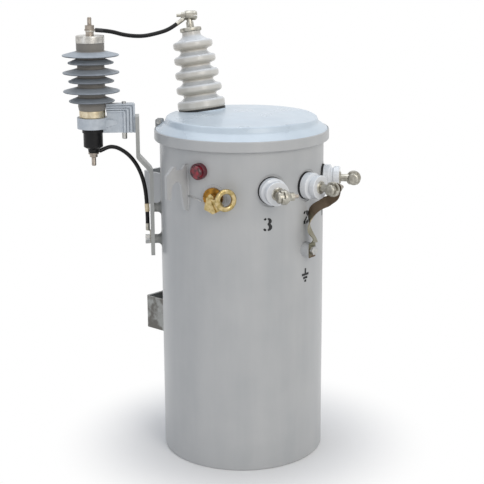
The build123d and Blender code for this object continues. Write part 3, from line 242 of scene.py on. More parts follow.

# %% [markdown]
# ## Porcelain
# The bushings are electrical porcelain: clay turned on a lathe, dipped in glaze and fired.
# Glaze is a hard clear glass skin over a warm body, so it has sharp highlights and faint
# turning rings. What faces up is painted cooler, a painted sky light, and what faces down is
# painted warmer and darker, a painted shade, broken by random blotches. A clear coat gives
# the glass skin, and the painted light is mixed in by how far the surface faces up or down.

# %% Glazed porcelain
def glazed_porcelain(name, body, painted_sky_light, painted_underside_shade, axis_scale, roughness):
    """Glaze over a body colour, with painted sky light facing up, painted shade facing down, and faint
    throwing marks.
    """
    material, tree, bsdf = start_finish(
        name, Roughness=roughness, IOR=1.55, Coat_Weight=0.6, Coat_Roughness=roughness / 2, Coat_IOR=1.5
    )
    place = add(tree, "ShaderNodeTexCoord")
    facing = add(tree, "ShaderNodeNewGeometry")
    split = add(tree, "ShaderNodeSeparateXYZ", {"Vector": facing.outputs["Normal"]})
    # Faces that look up turn to the cool colour: painted sky light.
    up = add(tree, "ShaderNodeMapRange", {"Value": split.outputs["Z"], "From Min": 0.1,
             "From Max": 0.95})
    # Faces that look down turn to the warm, darker colour: painted shade, with random blotches added to
    # it.
    painted_shade_below = add(tree, "ShaderNodeMapRange", {"Value": split.outputs["Z"], "From Min": 0.0,
               "From Max": -0.8})
    pooled = add(tree, "ShaderNodeTexNoise", {"Vector": place.outputs["Object"], "Scale": 60.0,
                 "Detail": 4})
    blotch = add(tree, "ShaderNodeMath", {0: pooled.outputs["Fac"], 1: 0.5}, operation="MULTIPLY")
    shade = add(tree, "ShaderNodeMath", {0: painted_shade_below.outputs[0], 1: blotch.outputs[0]},
                operation="ADD", use_clamp=True)
    warm = add(tree, "ShaderNodeMix", {"Factor": shade.outputs[0]}, data_type="RGBA")
    warm.inputs["A"].default_value = linear(body)
    warm.inputs["B"].default_value = linear(painted_underside_shade)
    painted_sky_mix = add(tree, "ShaderNodeMix", {"Factor": up.outputs[0]}, data_type="RGBA")
    tree.links.new(warm.outputs["Result"], painted_sky_mix.inputs["A"])
    painted_sky_mix.inputs["B"].default_value = linear(painted_sky_light)
    tree.links.new(painted_sky_mix.outputs["Result"], bsdf.inputs["Base Color"])
    # axis_scale is in repeats a metre: 500 sets the tall bushing's throwing marks 2 mm apart.
    marks = add(tree, "ShaderNodeMapping", {"Vector": place.outputs["Object"], "Scale": axis_scale})
    rings = add(tree, "ShaderNodeTexNoise", {"Vector": marks.outputs[0], "Scale": 1.0, "Detail": 3})
    bump = add(tree, "ShaderNodeBump", {"Height": rings.outputs["Fac"], "Strength": 0.12,
               "Distance": 0.0008})
    tree.links.new(bump.outputs[0], bsdf.inputs["Normal"])
    return material


# The third colour is painted sky light on glaze that faces up, the fourth painted shade on glaze that
# faces down.
hv_porcelain = glazed_porcelain(
    "grey_white_porcelain", "#D2CFC8", "#D6DBE0", "#B5AEA0", axis_scale=(20, 20, 500), roughness=0.34
)
lv_porcelain = glazed_porcelain(
    "white_porcelain", "#E4E6E8", "#EAF0F6", "#CACCCF", axis_scale=(200, 200, 200), roughness=0.18
)
wear(["hv_bushing"], hv_porcelain)
wear(["lv_bushing_1", "lv_bushing_2", "lv_bushing_3"], lv_porcelain)
print("porcelain on", count_wearing(hv_porcelain, lv_porcelain), "bushings")

# %% [markdown]
# ## Cast and plated metals
# The clamps are tinned bronze castings: dull silver with a little yellow showing where the
# tin is thin, and a sandy skin about 1 mm coarse. Zinc plated bolts are smoother, with a
# faint yellow and blue passivation. The handle is bare cast brass. One function makes all
# of them from two colours, because they differ only in colour, grain and gloss.

# %% Cast or plated metal
def cast_metal(name, light, dark, roughness, grain, relief):
    """Metal whose colour wanders between two tones, with a cast skin of one grain size."""
    material, tree, bsdf = start_finish(name, Metallic=1.0, Roughness=roughness)
    place = add(tree, "ShaderNodeTexCoord")
    stain = add(tree, "ShaderNodeTexNoise", {"Vector": place.outputs["Object"], "Scale": 130.0,
                "Detail": 5})
    spread = add(tree, "ShaderNodeMapRange", {"Value": stain.outputs["Fac"],
                 "From Min": 0.35, "From Max": 0.65})
    two_tone(tree, bsdf, spread.outputs[0], dark, light)
    gloss = add(tree, "ShaderNodeMapRange", {"Value": stain.outputs["Fac"],
                "From Min": 0.3, "From Max": 0.7,
                "To Min": roughness + 0.12, "To Max": roughness - 0.06})
    tree.links.new(gloss.outputs[0], bsdf.inputs["Roughness"])
    skin = add(tree, "ShaderNodeTexNoise", {"Vector": place.outputs["Object"],
               "Scale": 1 / grain, "Detail": 3})
    bump = add(tree, "ShaderNodeBump", {"Height": skin.outputs["Fac"], "Strength": relief,
               "Distance": 0.0008})
    tree.links.new(bump.outputs[0], bsdf.inputs["Normal"])
    return material


tinned_bronze = cast_metal("tinned_cast_bronze", "#B9B6AC", "#96938A", 0.34, 0.0012, 0.15)
zinc_plate = cast_metal("zinc_plated_steel", "#C8C6C0", "#A3A5A7", 0.3, 0.0008, 0.08)
stud_steel = cast_metal("rolled_stainless_studs", "#ABA298", "#8F867D", 0.34, 0.0008, 0.06)
dull_brass = cast_metal("bare_cast_brass", "#CDBA8E", "#A08D58", 0.3, 0.0014, 0.08)
amber_brass = cast_metal("lacquered_brass_dial", "#A87A35", "#7A5A2A", 0.36, 0.0012, 0.2)
cap_steel = cast_metal("spun_stainless_caps", "#CBC8C2", "#A9A7A3", 0.3, 0.0007, 0.05)
foot_steel = cast_metal("warm_stainless_foot", "#D8CCB2", "#BFB195", 0.34, 0.0007, 0.03)
wear(["hv_cap", "hv_terminal", "hv_clamp_bolt", "lv_terminal_1", "lv_terminal_2", "lv_terminal_3",
      "ground_lead_lug", "hv_lead_lug"], tinned_bronze)
wear(["band_bolt", "ground_bolt", "bracket_bolt", "strap_bolt"], zinc_plate)
wear(["arrester_head_stud", "disconnector_stud"], stud_steel)
wear(["breaker_handle"], dull_brass)
wear(["breaker_dial"], amber_brass)
wear(["arrester_head_cap"], cap_steel)
wear(["arrester_foot_cap"], foot_steel)
metals = (tinned_bronze, zinc_plate, stud_steel, dull_brass, amber_brass, cap_steel, foot_steel)
print("metals:", len(metals), "finishes on", count_wearing(*metals), "pieces")

# %% [markdown]
# ## Galvanised hanger
# The lower hanger was dipped bare in molten zinc. Zinc freezes into crystals, its
# spangle, about 10 mm across, and dulls in patches where it meets rain. Voronoi cells
# give the spangle, and a broad noise gives the dark patches.

# %% Hot dip galvanising
galvanised, tree, bsdf = start_finish("hot_dip_galvanised", Metallic=0.85, Roughness=0.45)
place = add(tree, "ShaderNodeTexCoord")
spangle = add(tree, "ShaderNodeTexVoronoi", {"Vector": place.outputs["Object"], "Scale": 100.0})
grey = add(tree, "ShaderNodeSeparateColor", {"Color": spangle.outputs["Color"]})
patches = add(tree, "ShaderNodeTexNoise", {"Vector": place.outputs["Object"], "Scale": 34.0,
              "Detail": 6})
patch = add(tree, "ShaderNodeMapRange", {"Value": patches.outputs["Fac"], "From Min": 0.47,
            "From Max": 0.6})
cell = add(tree, "ShaderNodeMath", {0: grey.outputs[0], 1: 0.3}, operation="MULTIPLY")
mixed = add(tree, "ShaderNodeMath", {0: patch.outputs[0], 1: cell.outputs[0]},
            operation="ADD", use_clamp=True)
two_tone(tree, bsdf, mixed.outputs[0], "#9A9C9B", "#72706C")
dull = add(tree, "ShaderNodeMapRange", {"Value": mixed.outputs[0], "To Min": 0.36, "To Max": 0.62})
tree.links.new(dull.outputs[0], bsdf.inputs["Roughness"])
wear(["hanger_lower"], galvanised)
print("spangle scale is 1 per", 1000 / spangle.inputs["Scale"].default_value, "mm")

# %% [markdown]
# ## Ground strap
# The strap is tin washed copper that has browned. It is greenish and lighter lower down,
# with a brown stain at the boss. Higher up, where it bends out and twists its back face
# towards the tank, it is dark bronze, a painted shade. Its height picks between the three
# tones, with some noise so that no edge is straight.

# %% Weathered copper strap with painted shade
strap_copper_painted_shade, tree, bsdf = start_finish("weathered_copper_painted_shade", Metallic=0.9, Roughness=0.42)
place = add(tree, "ShaderNodeTexCoord")
split = add(tree, "ShaderNodeSeparateXYZ", {"Vector": place.outputs["Object"]})
stain = add(tree, "ShaderNodeTexNoise", {"Vector": place.outputs["Object"], "Scale": 70.0, "Detail": 5})
shift = add(tree, "ShaderNodeMapRange", {"Value": stain.outputs["Fac"], "To Min": -0.025,
            "To Max": 0.025})
height = add(tree, "ShaderNodeMath", {0: split.outputs["Z"], 1: shift.outputs[0]}, operation="ADD")
tones = add(tree, "ShaderNodeMapRange", {"Value": height.outputs[0], "From Min": 0.44,
            "From Max": 0.60})
# Above about 0.52 m the tones darken: painted shade on the strap's back face as it twists towards the
# tank.
ramp = add(tree, "ShaderNodeValToRGB", {"Fac": tones.outputs[0]})
ramp.color_ramp.elements[0].color = linear("#5E4C3C")
ramp.color_ramp.elements[1].color = linear("#57493B")
for stop, colour in ((0.2, "#7C7A68"), (0.45, "#8A8570"), (0.6, "#66594A")):
    ramp.color_ramp.elements.new(stop).color = linear(colour)
tree.links.new(ramp.outputs[0], bsdf.inputs["Base Color"])
bump = add(tree, "ShaderNodeBump", {"Height": stain.outputs["Fac"], "Strength": 0.25,
           "Distance": 0.0006})
tree.links.new(bump.outputs[0], bsdf.inputs["Normal"])
wear(["ground_strap"], strap_copper_painted_shade)
print("strap tones:", len(ramp.color_ramp.elements))

# %% [markdown]
# ## Arrester housing
# The sheds are moulded silicone rubber. The tops are pale, partly a chalky bloom where light
# and rain reach them and partly painted sky light, and the undersides carry painted shade.
# The core is darker too. Facing up or down picks the tone, and distance from the arrester's
# axis picks out the browner core.

# %% Silicone rubber
arrester_low, arrester_high = (Vector(corner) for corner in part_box("arrester_housing"))
arrester_axis = (arrester_low + arrester_high) / 2
silicone, tree, bsdf = start_finish("silicone_rubber", Roughness=0.5, IOR=1.42, Sheen_Weight=0.15)
place = add(tree, "ShaderNodeTexCoord")
from_axis = add(tree, "ShaderNodeVectorMath", {0: place.outputs["Object"], 1: tuple(arrester_axis)},
                operation="SUBTRACT")
level = add(tree, "ShaderNodeVectorMath", {0: from_axis.outputs[0], 1: (1, 1, 0)}, operation="MULTIPLY")
radius = add(tree, "ShaderNodeVectorMath", {0: level.outputs[0]}, operation="LENGTH")
core = add(tree, "ShaderNodeMapRange", {"Value": radius.outputs["Value"],
           "From Min": 0.0295, "From Max": 0.033})
facing = add(tree, "ShaderNodeNewGeometry")
split = add(tree, "ShaderNodeSeparateXYZ", {"Vector": facing.outputs["Normal"]})
# Facing down gives the dark colour, painted shade under the sheds; facing up gives the pale one, bloom
# with painted sky light.
up = add(tree, "ShaderNodeMapRange", {"Value": split.outputs["Z"], "From Min": -0.15, "From Max": 0.5})
cloud = add(tree, "ShaderNodeTexNoise", {"Vector": place.outputs["Object"], "Scale": 45.0, "Detail": 5})
uneven = add(tree, "ShaderNodeMapRange", {"Value": cloud.outputs["Fac"],
             "From Min": 0.3, "From Max": 0.7, "To Min": 0.8, "To Max": 1.0})
bloom_and_painted_light = add(tree, "ShaderNodeMath", {0: up.outputs[0], 1: uneven.outputs[0]}, operation="MULTIPLY")
shed = add(tree, "ShaderNodeMix", {"Factor": bloom_and_painted_light.outputs[0]}, data_type="RGBA")
# 4C4F54 is the painted shade, #A6AFB8 the pale bloom with painted sky light.
shed.inputs["A"].default_value = linear("#4C4F54")
shed.inputs["B"].default_value = linear("#A6AFB8")
whole = add(tree, "ShaderNodeMix", {"Factor": core.outputs[0]}, data_type="RGBA")
whole.inputs["A"].default_value = linear("#807C76")
tree.links.new(shed.outputs["Result"], whole.inputs["B"])
tree.links.new(whole.outputs["Result"], bsdf.inputs["Base Color"])
fine = add(tree, "ShaderNodeTexNoise", {"Vector": place.outputs["Object"], "Scale": 900.0, "Detail": 2})
bump = add(tree, "ShaderNodeBump", {"Height": fine.outputs["Fac"], "Strength": 0.15,
           "Distance": 0.0004})
tree.links.new(bump.outputs[0], bsdf.inputs["Normal"])
wear(["arrester_housing"], silicone)
print("arrester axis at", tuple(round(v, 4) for v in arrester_axis[:2]))

# %% [markdown]
# ## Moulded plastics and rubber
# The bracket is glass filled polyester, pale and a little mottled by its fibres. The
# disconnector is a black thermoset, the gaskets nitrile rubber, the lead jackets EPDM
# rubber, and the ferrule a cream nylon. All are matt to satin, so each gets two close
# tones, a fine moulded grain, and its own gloss. A film of dust on the black ones mirrors
# less than clean plastic does, so they get a lower specular level.

# %% Moulded finish
def moulded(name, light, dark, roughness, mottle, relief=0.2, level=0.5):
    """Moulded surface whose tone wanders at one scale, with a fine grain."""
    material, tree, bsdf = start_finish(name, Roughness=roughness, IOR=1.5, Specular_IOR_Level=level)
    place = add(tree, "ShaderNodeTexCoord")
    tone = add(tree, "ShaderNodeTexNoise", {"Vector": place.outputs["Object"],
               "Scale": 1 / mottle, "Detail": 5})
    spread = add(tree, "ShaderNodeMapRange", {"Value": tone.outputs["Fac"],
                 "From Min": 0.35, "From Max": 0.65})
    two_tone(tree, bsdf, spread.outputs[0], dark, light)
    gloss = add(tree, "ShaderNodeMapRange", {"Value": tone.outputs["Fac"],
                "From Min": 0.3, "From Max": 0.7,
                "To Min": roughness - 0.06, "To Max": roughness + 0.08})
    tree.links.new(gloss.outputs[0], bsdf.inputs["Roughness"])
    grain = add(tree, "ShaderNodeTexNoise", {"Vector": place.outputs["Object"], "Scale": 1200.0,
                "Detail": 2})
    bump = add(tree, "ShaderNodeBump", {"Height": grain.outputs["Fac"], "Strength": relief,
               "Distance": 0.0003})
    tree.links.new(bump.outputs[0], bsdf.inputs["Normal"])
    return material


polyester = moulded("glass_filled_polyester", "#C4CBD2", "#B6BEC6", 0.42, 0.012)
thermoset = moulded("black_thermoset", "#121213", "#0C0C0D", 0.36, 0.01, level=0.25)
nitrile = moulded("nitrile_rubber", "#1C1C1E", "#121214", 0.62, 0.006)
jacket = moulded("epdm_jacket", "#101011", "#0A0A0B", 0.42, 0.005, level=0.25)
nylon = moulded("cream_nylon", "#EBDDC0", "#CDB88E", 0.45, 0.004)
wear(["arrester_bracket"], polyester)
wear(["disconnector", "disconnector_lead_lug"], thermoset)
wear(["cover_gasket", "hv_gasket", "lv_gaskets"], nitrile)
wear(["lead_ferrule"], nylon)
for lead in (hv_lead, ground_lead):
    lead.data.materials.append(jacket)
print("moulded finishes on", count_wearing(polyester, thermoset, nitrile, nylon), "pieces")

# %% [markdown]
# ## Insulated lug
# The lug on the arrester's head has a bare palm under the nut and a black shrink sleeve
# over its barrel. The same piece carries both, so the distance from the stud picks
# between metal and rubber.

# %% Bare palm and shrink sleeve
sleeved, tree, bsdf = start_finish("sleeved_lug", Roughness=0.4)
place = add(tree, "ShaderNodeTexCoord")
from_stud = add(tree, "ShaderNodeVectorMath", {0: place.outputs["Object"], 1: tuple(arrester_axis)},
                operation="SUBTRACT")
level = add(tree, "ShaderNodeVectorMath", {0: from_stud.outputs[0], 1: (1, 1, 0)}, operation="MULTIPLY")
reach = add(tree, "ShaderNodeVectorMath", {0: level.outputs[0]}, operation="LENGTH")
bare = add(tree, "ShaderNodeMapRange", {"Value": reach.outputs["Value"],
           "From Min": 0.0112, "From Max": 0.0104})
tree.links.new(bare.outputs[0], bsdf.inputs["Metallic"])
creases = add(tree, "ShaderNodeTexNoise", {"Vector": place.outputs["Object"], "Scale": 300.0,
              "Detail": 3})
two_tone(tree, bsdf, bare.outputs[0], "#151517", "#BDBBB4")
bump = add(tree, "ShaderNodeBump", {"Height": creases.outputs["Fac"], "Strength": 0.2,
           "Distance": 0.0004})
tree.links.new(bump.outputs[0], bsdf.inputs["Normal"])
wear(["arrester_lead_lug"], sleeved)
edge = (bare.inputs["From Min"].default_value + bare.inputs["From Max"].default_value) / 2
print("sleeve starts", round(edge * 1000, 1), "mm from the stud's axis")

# %% [markdown]
# ## Signal light
# The overload light has a clear crimson polycarbonate cap over a dark reflector. Its body
# colour is deep, with darker patches where the reflector shows through, and the moulded
# skin is glossy. Small prisms inside, about 3 mm across, are drawn as a bump.

# %% Crimson polycarbonate
crimson, tree, bsdf = start_finish(
    "crimson_polycarbonate", Roughness=0.24, IOR=1.58, Coat_Weight=0.1, Coat_Roughness=0.1
)
place = add(tree, "ShaderNodeTexCoord")
patches = add(tree, "ShaderNodeTexNoise", {"Vector": place.outputs["Object"], "Scale": 85.0,
              "Detail": 3})
spread = add(tree, "ShaderNodeMapRange", {"Value": patches.outputs["Fac"], "From Min": 0.38,
             "From Max": 0.6})
two_tone(tree, bsdf, spread.outputs[0], "#3C0614", "#9C0A28")
prisms = add(tree, "ShaderNodeTexVoronoi", {"Vector": place.outputs["Object"], "Scale": 330.0})
bump = add(tree, "ShaderNodeBump", {"Height": prisms.outputs["Distance"], "Strength": 0.1,
           "Distance": 0.0005})
tree.links.new(bump.outputs[0], bsdf.inputs["Normal"])
bezel_red, tree, bsdf = start_finish("dark_red_bezel", Roughness=0.3, IOR=1.55)
place = add(tree, "ShaderNodeTexCoord")
patches = add(tree, "ShaderNodeTexNoise", {"Vector": place.outputs["Object"], "Scale": 85.0,
              "Detail": 3})
two_tone(tree, bsdf, patches.outputs["Fac"], "#2E0812", "#6E0E26")
wear(["signal_lens"], crimson)
wear(["signal_bezel"], bezel_red)
print("signal light finishes on", count_wearing(crimson, bezel_red), "pieces")

# %% [markdown]
# ## Welds
# The lugs and hangers are fillet welded to the tank. A weld bead is a row of overlapping
# scallops about 3 mm long. A tube whose radius swells once per scallop looks right, and is
# far lighter than separate pieces of metal.

# %% Weld beads
def join_rows(shape, rows, ends=True):
    """Join each ring of bmesh points to the next with faces, and close the two ends."""
    for row, after in zip(rows, rows[1:]):
        for side in range(len(row)):
            shape.faces.new((row[side], row[side - 1], after[side - 1], after[side]))
    if ends:
        shape.faces.new(rows[0])
        shape.faces.new(reversed(rows[-1]))


def weld_tube(shape, start, end, radius, scallop=0.0032, sides=10):
    """Add one straight scalloped bead to a bmesh, between two points in metres."""
    start, end = Vector(start), Vector(end)
    run = end - start
    across = run.orthogonal().normalized()
    other = run.cross(across).normalized()
    steps = max(4, int(run.length / scallop * 4))
    rows = []
    for step in range(steps + 1):
        share = step / steps
        swell = 0.82 + 0.18 * abs(sin(pi * share * run.length / scallop))
        wander = 0.12 * noise.noise((start + run * share) * 300)
        size = radius * (swell + wander) * min(1, 12 * min(share, 1 - share) + 0.3)
        rows.append([
            shape.verts.new(start + run * share + (across * cos(turn) + other * sin(turn)) * size)
            for turn in (2 * pi * side / sides for side in range(sides))
        ])
    join_rows(shape, rows)


def finish_mesh(shape, name, material, body="housing"):
    """Turn a bmesh into a smooth shaded piece that rides on a body."""
    bmesh.ops.recalc_face_normals(shape, faces=shape.faces)
    data = bpy.data.meshes.new(name)
    shape.to_mesh(data)
    shape.free()
    for face in data.polygons:
        face.use_smooth = True
    data.materials.append(material)
    piece = bpy.data.objects.new(name, data)
    bpy.context.scene.collection.objects.link(piece)
    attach(piece, body)
    return piece


TANK_RADIUS = 0.170
LUG_BEAD_RADIUS = 0.0024
LUG_BEAD_OFFSET = 0.0035  # from the middle of a lug's plate
HANGER_BEAD_RADIUS = 0.0026
HANGER_SHEET = 0.006
welds = bmesh.new()
for side in (-1, 1):
    low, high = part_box("lifting_lug_left" if side < 0 else "lifting_lug_right")
    for face in (-1, 1):
        y = face * LUG_BEAD_OFFSET
        x = side * (TANK_RADIUS ** 2 - y ** 2) ** 0.5
        weld_tube(welds, (x, y, low[2] + 0.002), (x, y, high[2] - 0.001), LUG_BEAD_RADIUS)
for name in ("hanger_lower", "hanger_upper"):
    low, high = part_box(name)
    outside = 0.0006
    inside = HANGER_SHEET + outside
    for x in (low[0] - outside, low[0] + inside, high[0] - inside, high[0] + outside):
        y = (TANK_RADIUS ** 2 - x ** 2) ** 0.5
        weld_tube(welds, (x, y, low[2]), (x, y, high[2]), HANGER_BEAD_RADIUS)
weld_beads = finish_mesh(welds, "weld_beads", tank_enamel)
print("weld bead faces:", len(weld_beads.data.polygons))

# %% [markdown]
# ## Threads
# Studs and bolts stand out past their nuts, and their threads catch the light. A sleeve
# with a helical ridge goes round each stud's end, because a ridge in the mesh also shows
# in the outline, which a bump can't. Threads on studs 7 to 9 mm across are about 1.25 mm
# apart, and are drawn 1.5 mm apart here so that they show.

# %% Thread sleeves
def thread_sleeve(shape, start, run, radius, length, pitch=0.0015, sides=20):
    """Add a helical ridge round a stud to a bmesh, from start along run."""
    start, run = Vector(start), Vector(run).normalized()
    across = run.orthogonal().normalized()
    other = run.cross(across)
    rows = []
    steps = int(length / pitch * 4)
    for step in range(steps + 1):
        row = []
        for side in range(sides):
            turn = 2 * pi * side / sides
            phase = (step / 4 + side / sides) % 1
            ridge = 0.00005 + 0.00045 * (1 - abs(2 * phase - 1))
            spoke = across * cos(turn) + other * sin(turn)
            spot = start + run * (length * step / steps) + spoke * (radius + ridge)
            row.append(shape.verts.new(spot))
        rows.append(row)
    join_rows(shape, rows, ends=False)


def stud_end(name, run):
    """Middle of a node's end face along a run, from its box."""
    low, high = (Vector(corner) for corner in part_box(name))
    middle = (low + high) / 2
    return Vector((middle.x, middle.y, high.z if run[2] > 0 else low.z))


CLAMP_REACH = 0.2335  # from the tank's axis to the clamps
CLAMP_HEIGHT = 0.590
threads = bmesh.new()
top = stud_end("arrester_head_stud", (0, 0, 1))
thread_sleeve(threads, top - Vector((0, 0, 0.0155)), (0, 0, 1), 0.004, 0.0135)
bottom = stud_end("disconnector_stud", (0, 0, -1))
thread_sleeve(threads, bottom + Vector((0, 0, 0.018)), (0, 0, -1), 0.0044, 0.016)
for angle, nut in ((-30, 0.0135), (0, 0.0155), (30, 0.0135)):
    outward = Vector((sin(radians(angle)), -cos(radians(angle)), 0))
    sideways = Vector((cos(radians(angle)), sin(radians(angle)), 0))
    clamp = outward * CLAMP_REACH + Vector((0, 0, CLAMP_HEIGHT))
    thread_sleeve(threads, clamp + sideways * (nut + 0.0082), sideways, 0.0035, 0.0085)
thread_piece = finish_mesh(threads, "stud_threads", stud_steel)
print("thread faces:", len(thread_piece.data.polygons))

# %% [markdown]
# ## Seal wire
# A thin steel wire is bent from the lifting lug to the breaker's dial, where a lead seal
# would hang. It is stiff and holds its shape, so it is a plain tube on the tank.

# %% Bent wire
def wire_tube(shape, places, radius, sides=8):
    """Add a round wire through (angle, radius, height) places, the last two in metres."""
    spots = [Vector((sin(radians(turn)) * reach, -cos(radians(turn)) * reach, height))
             for turn, reach, height in places]
    rows = []
    for number, spot in enumerate(spots):
        run = spots[min(number + 1, len(spots) - 1)] - spots[max(number - 1, 0)]
        across = run.cross(Vector((0, 0, 1))).normalized()
        other = run.cross(across).normalized()
        rows.append([
            shape.verts.new(spot + (across * cos(turn) + other * sin(turn)) * radius)
            for turn in (2 * pi * side / sides for side in range(sides))
        ])
    join_rows(shape, rows)


wire = bmesh.new()
wire_tube(wire, [(-88.6, 0.1715, 0.5756), (-86.0, 0.1722, 0.5741), (-83.0, 0.1726, 0.5722),
                 (-80.5, 0.1726, 0.5703), (-78.6, 0.1722, 0.5684), (-77.2, 0.1714, 0.5664)], 0.0007)
seal_wire = finish_mesh(wire, "seal_wire", zinc_plate)
print("wire faces:", len(seal_wire.data.polygons))

# %% [markdown]
# ## Stencilled marks
# The low-voltage terminals are numbered, and the ground boss has the usual earth sign.
# They are sprayed through a card stencil in black, which leaves a bridge of bare paint
# across each stroke. Thin strokes are cut as flat ribbons and bent to the tank's curve,
# a fraction of a millimetre proud, because real paint follows the wall.

# %% Strokes bent to the tank
BOLDNESS = 1.8  # times each stroke's width, for the weight of the photograph's marks
PAINT_LIFT = 0.0002  # metres proud of the wall


def stroke(shape, points, angle, height):
    """Add a ribbon along (across, up, width) points in millimetres to a bmesh."""
    fine = []
    for before, after in zip(points, points[1:]):
        for step in range(6):
            share = step / 6
            fine.append([a + (b - a) * share for a, b in zip(before, after)])
    fine.append(list(points[-1]))
    edges = []
    for number, (across, up, width) in enumerate(fine):
        low = fine[max(number - 1, 0)]
        high = fine[min(number + 1, len(fine) - 1)]
        run = Vector((high[0] - low[0], high[1] - low[1])).normalized()
        normal = Vector((-run.y, run.x)) * (width * BOLDNESS / 2)
        pair = []
        for sign in (1, -1):
            turn = radians(angle) + (across + normal.x * sign) / 1000 / TANK_RADIUS
            spot = (sin(turn) * (TANK_RADIUS + PAINT_LIFT), -cos(turn) * (TANK_RADIUS + PAINT_LIFT),
                    height + (up + normal.y * sign) / 1000)
            pair.append(shape.verts.new(spot))
        edges.append(pair)
    for one, two in zip(edges, edges[1:]):
        shape.faces.new((one[0], one[1], two[1], two[0]))


def bow(middle, size, start, end, thick, thin):
    """Points of a curved stroke that is thickest at its middle."""
    count = 12
    points = []
    for step in range(count + 1):
        turn = radians(start + (end - start) * step / count)
        width = thin + (thick - thin) * sin(pi * step / count)
        points.append((middle[0] + size[0] * cos(turn), middle[1] + size[1] * sin(turn), width))
    return points


three = [
    bow((-0.6, 6.2), (6.2, 5.6), 150, 100, 2.6, 1.8),
    bow((-0.6, 6.2), (6.7, 5.6), 78, -78, 3.8, 1.2),
    bow((-0.6, -5.8), (7.4, 6.2), 80, -78, 4.2, 1.4),
    bow((-0.6, -5.8), (7.0, 6.0), -102, -155, 2.6, 1.8),
]
two = [
    bow((0, 5.6), (5.6, 6.2), 165, 98, 2.8, 1.8),
    bow((0, 5.6), (6.0, 6.2), 80, -40, 4.4, 1.6),
    [(3.6, 0.8, 2.2), (-1.5, -5.2, 2.0), (-6.2, -9.6, 2.4)],
    [(-7.0, -10.8, 3.2), (-0.8, -10.8, 3.2)],
    [(0.8, -10.8, 3.2), (6.4, -10.8, 3.2), (7.2, -6.4, 1.2)],
]
one = [
    [(0, 12.0, 4.4), (0, 1.0, 4.4)],
    [(0, -0.8, 4.4), (0, -11.6, 4.4)],
    [(-4.6, 9.4, 1.6), (-1.6, 11.4, 2.2)],
    [(-4.6, -11.4, 2.2), (4.6, -11.4, 2.2)],
]
earth = [
    [(0, 14.0, 2.8), (0, 2.4, 2.8)],
    [(-11.0, 1.2, 2.8), (11.0, 1.2, 2.8)],
    [(-7.0, -5.6, 2.8), (7.0, -5.6, 2.8)],
    [(-3.0, -12.4, 2.8), (3.0, -12.4, 2.8)],
]
marks = bmesh.new()
mark_places = [(three, -33, 0.5225), (two, -1, 0.525), (one, 27, 0.525), (earth, -1, 0.404)]
for strokes, angle, height in mark_places:
    for points in strokes:
        stroke(marks, points, angle, height)
stencil_black = moulded("stencil_black", "#0C0D0F", "#131416", 0.55, 0.003, relief=0.05)
stencil_marks = finish_mesh(marks, "stencil_marks", stencil_black)
print("stencil faces:", len(stencil_marks.data.polygons))

# %% [markdown]
# ## Floor and light
# A plain pale floor and soft studio light show the paint as it is. The floor fades to the
# same white as the background away from the object, so no horizon shows, while the
# object's shadow stays.

# %% Floor
def backdrop_rays(tree):
    """Socket that is 1 for camera, glossy and transmission rays, and 0 for light's bounces."""
    path = add(tree, "ShaderNodeLightPath")
    camera_ray, glossy_ray, through_ray = (
        path.outputs[f"Is {kind} Ray"] for kind in ("Camera", "Glossy", "Transmission")
    )
    direct = add(tree, "ShaderNodeMath", {0: camera_ray, 1: glossy_ray}, operation="MAXIMUM")
    seen = add(tree, "ShaderNodeMath", {0: direct.outputs[0], 1: through_ray}, operation="MAXIMUM")
    return seen.outputs[0]


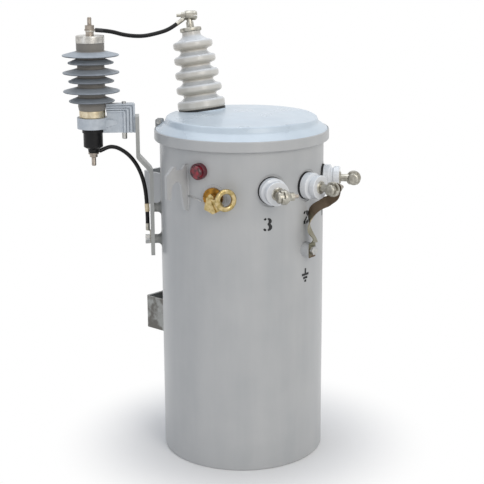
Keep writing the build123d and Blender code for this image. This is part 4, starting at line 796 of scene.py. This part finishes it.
floor_data = bpy.data.meshes.new("floor")
shape = bmesh.new()
bmesh.ops.create_circle(shape, cap_ends=True, segments=96, radius=9.0)
shape.to_mesh(floor_data)
shape.free()
floor = bpy.data.objects.new("floor", floor_data)
bpy.context.scene.collection.objects.link(floor)
floor_paint, tree, bsdf = start_finish("floor_paint", Base_Color=linear("#F2F2F2"), Roughness=0.9)
seen = backdrop_rays(tree)
place = add(tree, "ShaderNodeTexCoord")
flat = add(tree, "ShaderNodeVectorMath", {0: place.outputs["Object"]}, operation="LENGTH")
FLOOR_SHOWS = 0.17  # metres from the middle to where the floor starts to fade
FLOOR_GONE = 0.42
fade = add(tree, "ShaderNodeMapRange",
           {"Value": flat.outputs["Value"], "From Min": FLOOR_SHOWS, "From Max": FLOOR_GONE},
           interpolation_type="SMOOTHSTEP")
share = add(tree, "ShaderNodeMath", {0: fade.outputs[0], 1: seen}, operation="MULTIPLY")
white = add(tree, "ShaderNodeEmission", {"Color": (1, 1, 1, 1), "Strength": 1.0})
mixed = add(tree, "ShaderNodeMixShader", {0: share.outputs[0], 1: bsdf.outputs[0], 2: white.outputs[0]})
tree.links.new(mixed.outputs[0], tree.nodes["Material Output"].inputs["Surface"])
floor.data.materials.append(floor_paint)
print("floor reaches", round(max(v.co.length for v in floor_data.vertices), 2), "m")

# %% World and lamps
world = bpy.data.worlds.new("studio")
bpy.context.scene.world = world
world.use_nodes = True
tree = world.node_tree
tree.nodes.clear()
seen = backdrop_rays(tree)
ambient = add(tree, "ShaderNodeBackground", {"Color": linear("#F4F6FA"), "Strength": 0.55})
backdrop = add(tree, "ShaderNodeBackground", {"Color": (1, 1, 1, 1), "Strength": 1.0})
mixed = add(tree, "ShaderNodeMixShader", {0: seen, 1: ambient.outputs[0], 2: backdrop.outputs[0]})
add(tree, "ShaderNodeOutputWorld", {"Surface": mixed.outputs[0]})


def softbox(name, place, aim, size, power, colour):
    """Square area lamp that faces a point."""
    data = bpy.data.lights.new(name, "AREA")
    data.shape = "RECTANGLE"
    data.size, data.size_y = size
    data.energy = power
    data.color = linear(colour)[:3]
    lamp = bpy.data.objects.new(name, data)
    lamp.location = place
    lamp.rotation_euler = (Vector(aim) - Vector(place)).to_track_quat("-Z", "Y").to_euler()
    bpy.context.scene.collection.objects.link(lamp)


softbox("key", (-1.2, -3.0, 1.9), (0, 0, 0.4), (1.6, 2.2), 36, "#FFFAF3")
softbox("fill", (-3.2, 0.6, 1.4), (0, 0, 0.4), (1.6, 2.2), 7, "#DCE6FA")
softbox("overhead", (0.3, 0.3, 3.0), (0, 0, 0.6), (2.2, 2.2), 27, "#EFF4FC")
